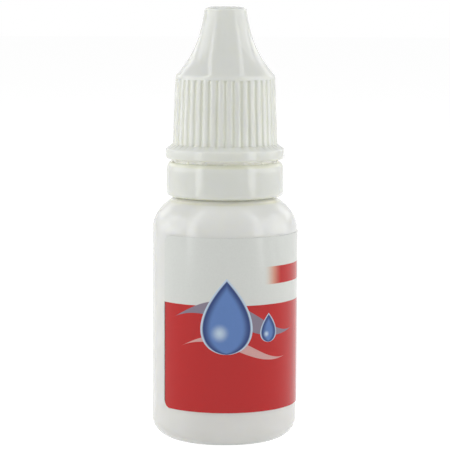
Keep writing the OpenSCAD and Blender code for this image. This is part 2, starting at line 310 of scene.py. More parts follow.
@dataclass(frozen=True)
class ThreadRidge:
    """Right-hand ridge of a screw thread, its foot sunk in the wall that carries it.

    Args:
        wall_r: Radius of the wall.
        low_z: Height of the middle of the ridge where it starts.
        out: 1 for a ridge that stands outwards and -1 for one that stands inwards.
        pitch: Rise in one turn.
        depth: How far the ridge stands out of the wall.
        root_w: Width at the wall.
        crest_w: Width at the crest.
        turns: Length in turns.
        sink: How deep the foot is sunk in the wall.
        fade_turns: Turns over which each end runs out.
        end_share: Share of the section's depth that is left at an end.
        edge_round: Rounding of the section's corners.
        steps_a_turn: Straight steps in one turn.
    """

    wall_r: float
    low_z: float
    out: int
    pitch: float = 3.0
    depth: float = 0.8
    root_w: float = 1.5
    crest_w: float = 0.7
    turns: float = 2.0
    sink: float = 0.3
    fade_turns: float = 0.13
    end_share: float = 0.2
    edge_round: float = 0.16
    steps_a_turn: int = 64

    @property
    def slope(self) -> float:
        """Half the width that the ridge loses for each mm that it rises."""
        return (self.root_w - self.crest_w) / 2 / self.depth

    def skin(self) -> Skin:
        """Carry a rounded trapezoid along a helix.

        A point of the section that lies p above the wall and q along the axis is, at angle a,
        at radius wall + out p and height low + pitch a / (2 pi) + q. Towards both ends the
        section sinks to a share of its depth as half a cosine wave, and each end is closed at
        its middle.

        Returns:
            The skin, closed at both ends.
        """
        foot, crest = self.root_w / 2 + self.slope * self.sink, self.crest_w / 2
        section = join(
            [[-self.sink, foot], [self.depth, crest], [self.depth, -crest], [-self.sink, -foot]]
        )
        section = soften(section, self.edge_round, closed=True, steps=3)
        turn = np.linspace(0, self.turns, round(self.turns * self.steps_a_turn) + 1)[:, None]
        fade = ramp(np.minimum(turn, self.turns - turn), 0, self.fade_turns)
        fade = self.end_share + (1 - self.end_share) * (1 - np.cos(np.pi * fade)) / 2
        p = -self.sink + (section[:, 0] + self.sink) * fade
        r, a = self.wall_r + self.out * p, 2 * np.pi * turn
        z = self.low_z + self.pitch * turn + section[:, 1]
        points = np.stack([r * np.cos(a), r * np.sin(a), z], -1)
        caps = [np.broadcast_to(end.mean(0), end.shape)[None] for end in (points[0], points[-1])]
        return Skin(np.concatenate([caps[0], points, caps[1]]))


def make_piece(name: str, skins: Sequence[Skin], crease: float = 50.0) -> bpy.types.Object:
    """Join skins into one smooth mesh in metres, its seams and poles closed, facing out.

    Args:
        name: Name of the piece.
        skins: Surfaces of the piece.
        crease: Angle in degrees past which an edge stays sharp.

    Returns:
        The new object, at the origin.
    """
    starts = np.cumsum([0, *(s.points.shape[0] * s.points.shape[1] for s in skins)])
    points = np.concatenate([s.points.reshape(-1, 3) for s in skins]) * MM
    quads = np.concatenate([s.quads(int(n)) for s, n in zip(skins, starts)])
    mesh = bpy.data.meshes.new(name)
    mesh.from_pydata(points.tolist(), [], quads.tolist())
    # Each point's mark is kept for the material, which paints light into grooves and gaps by it
    if any(s.marks is not None for s in skins):
        marks = [np.zeros(s.points.shape[:2]) if s.marks is None else s.marks for s in skins]
        layer = mesh.attributes.new("painted_light_depth", "FLOAT", "POINT")
        layer.data.foreach_set("value", np.concatenate([m.ravel() for m in marks]))
    shell = bmesh.new()
    shell.from_mesh(mesh)
    bmesh.ops.remove_doubles(shell, verts=shell.verts, dist=MERGE_L)
    bmesh.ops.recalc_face_normals(shell, faces=shell.faces)
    shell.to_mesh(mesh)
    shell.free()
    mesh.shade_smooth()
    mesh.set_sharp_from_angle(angle=math.radians(crease))
    piece = bpy.data.objects.new(name, mesh)
    bpy.context.scene.collection.objects.link(piece)
    return piece


# Finishes


class Finish(ABC):
    """How the surface of one material looks, as a node material."""

    @abstractmethod
    def material(self) -> bpy.types.Material:
        """Build the material."""


class Resin(Enum):
    """Plastics of the mouldings, with the refractive index of each."""

    LOW_DENSITY_POLYETHYLENE = 1.51
    POLYPROPYLENE = 1.49


@dataclass(frozen=True)
class MouldedResin(Finish):
    """A white moulded plastic that lets light in a little way.

    Light that enters and scatters softens every edge. Grooves and gaps also take painted light,
    a creamy colour for the light that comes through thin plastic there, so creases look creamy,
    not grey. The mould's polish sets the gloss, and its steel leaves a grain far finer than a
    millimetre.

    Args:
        name: Name of the material.
        resin: The plastic.
        colour: Colour of open faces.
        rim_painted_light: Painted light in grooves and beside gaps, for light through thin edges.
        gap_painted_light: Painted light inside gaps, for light that reaches them through the plastic.
        roughness: Roughness of the moulded face.
        scatter_mm: How far light travels in the plastic.
        gap_scatter_mm: How far it travels in the thin web and walls inside gaps.
        grain_mm: Width of the mould's grain, drawn as coarse as it needs to show.
        grain_depth_mm: Depth of the grain.
        cloud_mm: Width of the soft patches where the wall is thinner or thicker.
        cloud_shade: Brightness of the darkest and the lightest patches.
        cloud_gloss: Roughness of the glossiest and the dullest patches, as shares.
        sink_mm: How far the face sinks in where the wall is thicker.
        scatter_shares: How far red, green and blue travel, as shares of the distance.
    """

    name: str
    resin: Resin
    colour: str
    rim_painted_light: str
    gap_painted_light: str
    roughness: float
    scatter_mm: float = 1.2
    gap_scatter_mm: float = 0.05
    grain_mm: float = 0.35
    grain_depth_mm: float = 0.002
    cloud_mm: float = 7.0
    cloud_shade: tuple[float, float] = (0.975, 1.015)
    cloud_gloss: tuple[float, float] = (0.7, 1.3)
    sink_mm: float = 0.02
    scatter_shares: tuple[float, float, float] = (1.0, 0.98, 0.86)

    def material(self) -> bpy.types.Material:
        """Paint light into grooves and gaps by their depth, tint by wall clouds, and bump by mould
        grain and slight sink.

        Returns:
            The new material.
        """
        made, tree = new_material(self.name)
        place = add_node(tree, "TexCoord", output="Object")
        # Painted light: the depth in a groove or gap blends in the rim colour, then the gap colour
        depth = add_node(tree, "Attribute", output="Fac", attribute_name="painted_light_depth")
        colour = linear(self.colour)
        for start, painted_light in ((0.0, self.rim_painted_light), (RIM_MARK, self.gap_painted_light)):
            ends = {"Value": depth, "From Min": start, "From Max": start + RIM_MARK}
            share = add_node(tree, "MapRange", ends)
            sockets = {MIX_SHARE: share, MIX_UNDER: colour, MIX_OVER: linear(painted_light)}
            colour = add_node(tree, "Mix", sockets, output=MIX_RESULT, data_type="RGBA")
        scatter = add_node(
            tree, "MapRange",
            {"Value": depth, "To Min": self.scatter_mm * MM, "To Max": self.gap_scatter_mm * MM},
        )
        cloud = add_node(
            tree, "TexNoise", {"Vector": place, "Scale": 1 / (self.cloud_mm * MM), "Detail": 2.0}
        )
        gloss_span = np.array(self.cloud_gloss) * self.roughness
        shade, gloss = (
            add_node(tree, "MapRange", {"Value": cloud, **NOISE_SPAN, "To Min": low, "To Max": high})
            for low, high in (self.cloud_shade, gloss_span)
        )
        colour = add_node(tree, "VectorMath", [colour, shade], operation="MULTIPLY")
        grain = add_node(
            tree, "TexNoise", {"Vector": place, "Scale": 1 / (self.grain_mm * MM), "Detail": 3.0}
        )
        fine = add_node(tree, "Bump", {"Height": grain, "Distance": self.grain_depth_mm * MM})
        sink = add_node(
            tree, "Bump", {"Height": cloud, "Distance": self.sink_mm * MM, "Normal": fine}
        )
        shader = add_node(
            tree, "BsdfPrincipled",
            {
                "Base Color": colour, "Roughness": gloss, "IOR": self.resin.value,
                "Normal": sink, "Subsurface Weight": 1.0,
                "Subsurface Radius": self.scatter_shares, "Subsurface Scale": scatter,
            },
        )
        add_node(tree, "OutputMaterial", {"Surface": shader})
        return made


# Blow moulding leaves a smooth waxy skin, whose reflections are a little soft
BLOWN_LDPE = MouldedResin(
    "Blow-moulded low-density polyethylene", Resin.LOW_DENSITY_POLYETHYLENE,
    # The rim and gap colours are painted light on the shoulder under the tamper ring
    colour="#ECEDE9", rim_painted_light="#ECEDDF", gap_painted_light="#FFFFF2",
    roughness=0.15, scatter_mm=0.4, grain_mm=0.45,
)
# Natural resin without white pigment looks a little darker, and light goes deep into it
INJECTED_LDPE = MouldedResin(
    "Injection-moulded natural low-density polyethylene", Resin.LOW_DENSITY_POLYETHYLENE,
    colour="#E6E8E2", rim_painted_light="#E6E8E2", gap_painted_light="#E6E8E2",
    roughness=0.26, scatter_mm=3.0, grain_mm=0.3,
)
# A polished steel mould gives the cap clear, narrow reflections
INJECTED_PP = MouldedResin(
    "Injection-moulded white polypropylene", Resin.POLYPROPYLENE,
    # The rim and gap colours are painted light in the grooves, on the ring's crest and in the gaps
    colour="#E8EAE4", rim_painted_light="#E9EBDC", gap_painted_light="#FFFFF2",
    roughness=0.05, grain_mm=0.3, grain_depth_mm=0.001, sink_mm=0.006,
)


class Ink(Enum):
    """Colours printed on the label, with a dark red that is painted shade at the film's left edge."""

    BARE_FILM = "#E4E7E2"
    RED = "#C60B09"
    # Painted shade at the film's cut left edge, printed as a dark red line
    EDGE_SHADE_RED = "#6E1D1E"
    PEACH = "#E8C3A8"
    MAUVE = "#8C8294"
    ROSE = "#DDAAA6"
    DEEP_BLUE = "#24407F"
    MID_BLUE = "#5F86C6"
    PALE_BLUE = "#C9DDEF"


@dataclass(frozen=True)
class InkPlate:
    """The label's face as nodes, in mm across from the front's centre line and up.

    Args:
        tree: Tree of the label's material.
        face: Socket with the place on the print.
        across: Socket with the place round the bottle.
        up: Socket with the height above the base.
    """

    tree: bpy.types.NodeTree
    face: Socket
    across: Socket
    up: Socket

    def over(self, value: Socket, edge: float, soft: float = EDGE_SOFT, flip: bool = False) -> Socket:
        """Step softly from zero below an edge to one over it, or from one to zero.

        Args:
            value: Socket with the value.
            edge: Where the step is half done.
            soft: Width of the step.
            flip: Whether it steps down.

        Returns:
            The stepped value.
        """
        ends = {
            "Value": value, "From Min": edge - soft / 2, "From Max": edge + soft / 2,
            "To Min": float(flip), "To Max": float(not flip),
        }
        return add_node(self.tree, "MapRange", ends, interpolation_type="SMOOTHSTEP")

    def inside(self, value: Socket, middle: Socket | float, half: Socket) -> Socket:
        """How far a value lies inside a band: half less its distance from the middle.

        Args:
            value: Socket with the value.
            middle: The band's middle.
            half: Half its width.

        Returns:
            The distance from the nearer edge, negative outside.
        """
        off = add_node(self.tree, "Math", [value, middle], operation="SUBTRACT")
        off = add_node(self.tree, "Math", [off], operation="ABSOLUTE")
        return add_node(self.tree, "Math", [half, off], operation="SUBTRACT")

    def lay(self, under: Socket, ink: Ink, mask: Socket) -> Socket:
        """Print an ink over what is there, as thick as the mask says."""
        sockets = {MIX_SHARE: mask, MIX_UNDER: under, MIX_OVER: linear(ink.value)}
        return add_node(self.tree, "Mix", sockets, output=MIX_RESULT, data_type="RGBA")


class Motif(ABC):
    """A printed shape in one or more inks."""

    @abstractmethod
    def layers(self, plate: InkPlate) -> list[tuple[Ink, Socket]]:
        """Inks of the shape and the mask of each, the lowest first."""


@dataclass(frozen=True)
class Block(Motif):
    """A printed rectangle whose left end may fade in.

    Args:
        ink: Its ink.
        left: Its left end, in mm across.
        right: Its right end.
        low: Its lower edge, in mm up.
        high: Its upper edge.
        fade: Length over which the left end fades in.
    """

    ink: Ink
    left: float
    right: float
    low: float
    high: float
    fade: float = EDGE_SOFT

    def layers(self, plate: InkPlate) -> list[tuple[Ink, Socket]]:
        """One mask, the product of four soft steps, one for each side.

        Args:
            plate: The label's face.

        Returns:
            Pairs of an ink and its mask.
        """
        mask = plate.over(plate.across, self.left + self.fade / 2, self.fade)
        sides = (
            (plate.across, self.right, True),
            (plate.up, self.low, False),
            (plate.up, self.high, True),
        )
        for value, edge, flip in sides:
            side = plate.over(value, edge, flip=flip)
            mask = add_node(plate.tree, "Math", [mask, side], operation="MULTIPLY")
        return [(self.ink, mask)]


@dataclass(frozen=True)
class Wave(Motif):
    """A printed swash that follows a sine and swells in its middle.

    At x across, its centre line is at height + rise sin(2 pi (x - start) / length) and its
    half width is thick (1 - cos(2 pi (x - start) / (end - start))) / 2.

    Args:
        ink: Its ink.
        start: Where it begins, in mm across.
        end: Where it ends.
        height: Mean height, in mm up.
        rise: Height of the sine.
        length: Length of one full wave.
        thick: Half width in its middle.
    """

    ink: Ink
    start: float
    end: float
    height: float
    rise: float
    length: float
    thick: float

    def layers(self, plate: InkPlate) -> list[tuple[Ink, Socket]]:
        """One mask, where a place is nearer to the centre line than the half width.

        Args:
            plate: The label's face.

        Returns:
            Pairs of an ink and its mask.
        """
        node = partial(add_node, plate.tree)
        ends = {"Value": plate.across, "From Min": self.start, "To Max": 2 * math.pi}
        phase = node("MapRange", {**ends, "From Max": self.start + self.length}, clamp=False)
        sine = node("Math", [phase], operation="SINE")
        middle = node("Math", [sine, self.rise, self.height], operation="MULTIPLY_ADD")
        along = node("MapRange", {**ends, "From Max": self.end})
        swell = node("Math", [along], operation="COSINE")
        half = node("Math", [swell, -self.thick / 2, self.thick / 2], operation="MULTIPLY_ADD")
        return [(self.ink, plate.over(plate.inside(plate.up, middle, half), EDGE_IN))]


@dataclass(frozen=True)
class Drop(Motif):
    """A printed blue water drop with its tip up, a pale rim and a highlight.

    With t the share of the height below the tip, its half width is proportional to
    t times the square root of (1 - t), which is widest two thirds of the way down.

    Args:
        across: Its centre line, in mm across.
        tip: Height of its tip, in mm up.
        height: Its full height.
        width: Its full width.
        rim: Width of its pale rim.
        rim_soft: Width over which the rim turns deep blue.
        middle_rims: How far in the lighter middle lies, in widths of the rim.
        middle_soft_rims: Width over which it fades in, in widths of the rim.
        glow_left: How far left of the centre line the highlight lies, as a share of the width.
        glow_down: How far below the tip it lies, as a share of the height.
        glow_r: Radius of the highlight, as a share of the width.
    """

    across: float
    tip: float
    height: float
    width: float
    rim: float
    rim_soft: float = 0.3
    middle_rims: float = 3.2
    middle_soft_rims: float = 3.4
    glow_left: float = 0.13
    glow_down: float = 0.72
    glow_r: float = 0.2

    def depth(self, plate: InkPlate) -> Socket:
        """How far inside the drop a place lies, in mm, negative outside.

        Args:
            plate: The label's face.

        Returns:
            Socket with the depth.
        """
        node = partial(add_node, plate.tree)
        ends = {"Value": plate.up, "From Min": self.tip, "From Max": self.tip - self.height}
        t = node("MapRange", ends)
        root = node("Math", [node("Math", [1.0, t], operation="SUBTRACT")], operation="SQRT")
        share = node("Math", [t, root], operation="MULTIPLY")
        widest = 2 / 3 * math.sqrt(1 / 3)
        half = node("Math", [share, self.width / 2 / widest], operation="MULTIPLY")
        return plate.inside(plate.across, self.across, half)

    def glow(self, plate: InkPlate) -> Socket:
        """A soft round highlight, one in its middle and zero at its edge.

        Args:
            plate: The label's face.

        Returns:
            The mask.
        """
        left, down = self.glow_left * self.width, self.glow_down * self.height
        sockets = [plate.face, (self.across - left, self.tip - down, 0)]
        far = add_node(plate.tree, "VectorMath", sockets, output="Value", operation="DISTANCE")
        size = self.glow_r * self.width
        return plate.over(far, size / 2, size, flip=True)

    def layers(self, plate: InkPlate) -> list[tuple[Ink, Socket]]:
        """Pale rim, deep blue inside it, a lighter middle and the highlight.

        Args:
            plate: The label's face.

        Returns:
            Pairs of an ink and its mask.
        """
        depth = self.depth(plate)
        middle, soft = self.middle_rims * self.rim, self.middle_soft_rims * self.rim
        return [
            (Ink.PALE_BLUE, plate.over(depth, EDGE_IN)),
            (Ink.DEEP_BLUE, plate.over(depth, self.rim, self.rim_soft)),
            (Ink.MID_BLUE, plate.over(depth, middle, soft)),
            (Ink.PALE_BLUE, self.glow(plate)),
        ]


@dataclass(frozen=True)
class PrintedFilm(Finish):
    """Printed white polypropylene film, stuck down and varnished.

    The varnish gives one clear reflection over ink and film alike, and the film's slight
    waves over the glue make that reflection tremble.

    Args:
        name: Name of the material.
        left: The film's left edge, in mm across.
        right: The film's right edge.
        panel_top: Upper edge of the red panel, in mm up.
        edge_shade_w: Width of the dark red line of painted shade at the film's left edge.
        dot_mm: Pitch of the print's screen, drawn as coarse as it needs to show.
        dot_shade: Brightness of the darkest and the lightest dots.
        wave_mm: Width of the film's waves over the glue.
        wave_depth_mm: Depth of the waves.
        roughness: Roughness of the varnish.
        ior: Refractive index of the varnish.
    """

    name: str
    left: float
    right: float
    panel_top: float = 25.36
    edge_shade_w: float = 0.28
    dot_mm: float = 0.3
    dot_shade: tuple[float, float] = (0.985, 1.015)
    wave_mm: float = 4.5
    wave_depth_mm: float = 0.02
    roughness: float = 0.12
    ior: float = 1.45

    def artwork(self) -> Sequence[Motif]:
        """Printed shapes, the broadest first.

        Returns:
            The shapes in the order of printing.
        """
        bleed = 1.0
        panel = {"left": self.left - bleed, "low": 0, "high": self.panel_top}
        tag = {"right": 23.5, "low": 28.9, "high": 32.0}
        return (
            Block(Ink.RED, right=self.right + bleed, **panel),
            # Painted shade along the film's cut left edge
            Block(Ink.EDGE_SHADE_RED, right=self.left + self.edge_shade_w, **panel),
            Block(Ink.PEACH, 7.2, fade=2.6, **tag),
            Block(Ink.RED, 8.0, fade=3.4, **tag),
            Wave(Ink.MAUVE, -10.5, 15.5, height=22.6, rise=2.3, length=30.0, thick=1.9),
            Wave(Ink.ROSE, -9.0, 13.5, height=17.6, rise=1.9, length=26.0, thick=1.0),
            Drop(0.4, tip=30.2, height=13.4, width=9.4, rim=0.42),
            Drop(8.3, tip=23.9, height=5.2, width=3.6, rim=0.26),
        )

    def printed(self, plate: InkPlate) -> Socket:
        """Lay the inks over the bare film.

        Args:
            plate: The label's face.

        Returns:
            Socket with the printed colour.
        """
        colour = add_node(plate.tree, "RGB")
        colour.default_value = linear(Ink.BARE_FILM.value)
        for motif in self.artwork():
            for ink, mask in motif.layers(plate):
                colour = plate.lay(colour, ink, mask)
        return colour

    def material(self) -> bpy.types.Material:
        """Print on the film's own map, then varnish it.

        Returns:
            The new material.
        """
        made, tree = new_material(self.name)
        face = add_node(tree, "UVMap", uv_map="print")
        across = add_node(tree, "SeparateXYZ", [face])
        colour = self.printed(InkPlate(tree, face, across, across.node.outputs["Y"]))
        place = add_node(tree, "TexCoord", output="Object")
        screen = add_node(tree, "TexNoise", {"Vector": place, "Scale": 1 / (self.dot_mm * MM)})
        low, high = self.dot_shade
        shade = add_node(
            tree, "MapRange", {"Value": screen, **NOISE_SPAN, "To Min": low, "To Max": high}
        )
        colour = add_node(tree, "VectorMath", [colour, shade], operation="MULTIPLY")
        waves = add_node(
            tree, "TexNoise", {"Vector": place, "Scale": 1 / (self.wave_mm * MM), "Detail": 1.0}
        )
        bump = add_node(tree, "Bump", {"Height": waves, "Distance": self.wave_depth_mm * MM})
        shader = add_node(
            tree, "BsdfPrincipled",
            {"Base Color": colour, "Roughness": self.roughness, "IOR": self.ior, "Normal": bump},
        )
        add_node(tree, "OutputMaterial", {"Surface": shader})
        return made


@dataclass(frozen=True)
class PaleSweep(Finish):
    """Matt white studio sweep, which burns out to white round a soft contact shadow.

    Args:
        name: Name of the material.
        colour: Colour of the matt face, which throws light on the bottle.
        lit_share: Share of the matt face in what the camera sees, which keeps the shadow.
        glow: Strength of the white light that makes up the rest.
    """

    name: str = "Matt white studio sweep"
    colour: str = "#F2F2F2"
    lit_share: float = 0.32
    glow: float = 1.4

    def material(self) -> bpy.types.Material:
        """Plain matt white for light, and mostly white glow for the camera and reflections.

        Returns:
            The new material.
        """
        made, tree = new_material(self.name)
        matt = add_node(tree, "BsdfDiffuse", {"Color": linear(self.colour)})
        glow = add_node(tree, "Emission", {"Color": linear(WHITE), "Strength": self.glow})
        seen = add_node(tree, "MixShader", [self.lit_share, glow, matt])
        mixed = add_node(tree, "MixShader", [looked_at(tree), matt, seen])
        add_node(tree, "OutputMaterial", {"Surface": mixed})
        return made


def looked_at(tree: bpy.types.NodeTree) -> Socket:
    """One for rays of the camera, reflections and refractions, and zero for lighting rays.

    Args:
        tree: Tree that takes the nodes.

    Returns:
        The socket.
    """
    seen = add_node(tree, "LightPath", output="Is Camera Ray")
    paths = seen.node.outputs
    for name in ("Is Glossy Ray", "Is Transmission Ray"):
        seen = add_node(tree, "Math", [seen, paths[name]], operation="MAXIMUM")
    return seen


# Sub-assemblies


@dataclass(frozen=True)
class Fit:
    """Sizes that more than one moulding shares, in mm, with heights above the base.

    Args:
        body_r: Radius of the bottle's body.
        side_h: Height of the straight side, from the table up to the shoulder.
        shoulder_w: Width of the shoulder's elliptical round, in from the side.
        shoulder_h: Height of that round.
        neck_r: Radius of the neck under its thread.
        bore_r: Radius of the bore through the neck.
        neck_in_cap_h: Length of neck that the closed cap covers.
        thread_depth: Height of a thread ridge, on the neck and in the cap.
        thread_gap: Gap between the crest of a ridge and the wall that it faces.
        thread_play: Play between the flanks that meet when the cap is closed.
        thread_drop: Drop from the rim to the middle of the upper end of the neck's thread.
        skirt_wall_t: Wall of the cap's skirt round its bore, above the flange.
        flange_w: Reach of the cap's flange, out from the skirt.
        ring_inset: Inset of the tamper ring from the cap's flange.
        ring_wall_t: Thickness of the ring above its catching lip.
        ring_gap: Running gap between the ring and the neck's bead.
        ring_lift: Gap from the shoulder up to the ring.
        ring_h: Height of the ring.
        ring_foot_round: Rounding of the ring's bottom edge.
        ring_foot_w: Width of the flat under the ring.
        ring_lip_h: Height of the straight face of the catching lip.
        bead_catch: Overlap of the neck's bead and the catching lip.
        bridge_h: Gap between the ring and the cap, which the bridges span.
        tip_flange_t: Thickness of the nozzle's flange, which rests on the rim.
        nozzle_h: Height of the nozzle above its flange.
        cup_d: Diameter of the drop cup in the tip.
        cup_h: Depth of the drop cup.
        channel_d: Diameter of the drop channel.
        boss_gap: Gap between the cap's boss and the tip.
        boss_h: Height of the boss.
        cap_top_t: Thickness of the cap's top.
    """

    body_r: float = 12.95
    side_h: float = 37.3
    shoulder_w: float = 9.1
    shoulder_h: float = 7.15
    neck_r: float = 6.5
    bore_r: float = 5.0
    neck_in_cap_h: float = 11.6
    thread_depth: float = 0.8
    thread_gap: float = 0.2
    thread_play: float = 0.12
    thread_drop: float = 2.6
    skirt_wall_t: float = 1.85
    flange_w: float = 1.25
    ring_inset: float = 0.15
    ring_wall_t: float = 2.0
    ring_gap: float = 0.38
    ring_lift: float = 0.5
    ring_h: float = 6.15
    ring_foot_round: float = 0.75
    ring_foot_w: float = 0.3
    ring_lip_h: float = 0.5
    bead_catch: float = 0.5
    bridge_h: float = 0.53
    tip_flange_t: float = 0.9
    nozzle_h: float = 12.0
    cup_d: float = 2.2
    cup_h: float = 1.2
    channel_d: float = 0.8
    boss_gap: float = 0.1
    boss_h: float = 0.9
    cap_top_t: float = 1.5

    @property
    def shoulder_c(self) -> float:
        """Radius of the centre of the shoulder's round."""
        return self.body_r - self.shoulder_w

    def shoulder_z(self, r: float) -> float:
        """Height of the shoulder's outside at radius r."""
        share = (r - self.shoulder_c) / self.shoulder_w
        return self.side_h + self.shoulder_h * math.sqrt(1 - share**2)

    @property
    def cap_bore_r(self) -> float:
        """Radius of the cap's bore, clear of the neck's thread."""
        return self.neck_r + self.thread_depth + self.thread_gap

    @property
    def skirt_r(self) -> float:
        """Radius of the cap's skirt at its foot."""
        return self.cap_bore_r + self.skirt_wall_t

    @property
    def flange_r(self) -> float:
        """Radius of the cap's flange."""
        return self.skirt_r + self.flange_w

    @property
    def ring_r(self) -> float:
        """Radius of the tamper ring."""
        return self.flange_r - self.ring_inset

    @property
    def ring_bore_r(self) -> float:
        """Radius of the tamper ring's bore."""
        return self.ring_r - self.ring_wall_t

    @property
    def bead_r(self) -> float:
        """Radius of the neck's bead."""
        return self.ring_bore_r - self.ring_gap

    @property
    def ring_lip_r(self) -> float:
        """Radius of the lip that catches under the bead."""
        return self.bead_r - self.bead_catch

    @property
    def ring_foot_r(self) -> float:
        """Radius where the ring's foot starts to slope in."""
        return self.ring_r - self.ring_foot_round - self.ring_foot_w

    @property
    def ring_z(self) -> float:
        """Height of the ring's foot."""
        return self.shoulder_z(self.ring_foot_r) + self.ring_lift

    @property
    def ring_lip_z(self) -> float:
        """Height of the underside of the ring's lip."""
        return self.shoulder_z(self.ring_lip_r) + self.ring_lift

    @property
    def ring_shelf_z(self) -> float:
        """Height at which the slope on the ring's lip reaches its bore."""
        slope_h = (self.ring_bore_r - self.ring_lip_r) / 2
        return self.ring_lip_z + self.ring_lip_h + slope_h

    @property
    def bead_z(self) -> float:
        """Height of the underside of the neck's bead."""
        return self.ring_shelf_z + self.ring_gap

    @property
    def ring_top(self) -> float:
        """Height of the ring's top."""
        return self.ring_z + self.ring_h

    @property
    def cap_z(self) -> float:
        """Height of the cap's mouth."""
        return self.ring_top + self.bridge_h

    @property
    def neck_top(self) -> float:
        """Height of the neck's rim."""
        return self.cap_z + self.neck_in_cap_h

    @property
    def nozzle_z(self) -> float:
        """Height of the top of the nozzle's flange."""
        return self.neck_top + self.tip_flange_t

    @property
    def tip_z(self) -> float:
        """Height of the nozzle's tip."""
        return self.nozzle_z + self.nozzle_h

    @property
    def cap_top(self) -> float:
        """Height of the cap's top."""
        return self.tip_z + self.boss_gap + self.boss_h + self.cap_top_t

    def neck_ridge(self) -> ThreadRidge:
        """Thread on the neck."""
        ridge = ThreadRidge(self.neck_r, self.neck_top - self.thread_drop, 1, depth=self.thread_depth)
        return replace(ridge, low_z=ridge.low_z - ridge.turns * ridge.pitch)

    def cap_ridge(self) -> ThreadRidge:
        """Thread in the cap, whose flank rests under the neck's.

        Returns:
            The ridge.
        """
        neck = self.neck_ridge()
        flanks = neck.root_w - neck.slope * (self.thread_depth - self.thread_gap)
        low = neck.low_z - flanks - self.thread_play
        return ThreadRidge(self.cap_bore_r, low, -1, depth=self.thread_depth)


@dataclass
class SubAssembly(ABC):
    """One moulding or film, which stands for its CAD node and moves with a body.

    Attributes:
        fit: Sizes that it shares with the others.
        node: Name of the CAD node that it replaces.
        body: Name of the body that carries it.
        slot: Name of the record's material slot for the piece, not used.
    """

    fit: Fit
    node: ClassVar[str]
    body: ClassVar[str]
    slot: ClassVar[str]

    @abstractmethod
    def shape(self) -> bpy.types.Object:
        """Build the mesh."""

    @abstractmethod
    def finish(self) -> Finish:
        """Choose the finish."""

    def build(self) -> bpy.types.Object:
        """Build the mesh, dress it and put it on its body.

        Returns:
            The finished piece.
        """
        piece = self.shape()
        piece.data.materials.append(self.finish().material())
        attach(piece, self.body)
        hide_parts(self.node)
        return piece


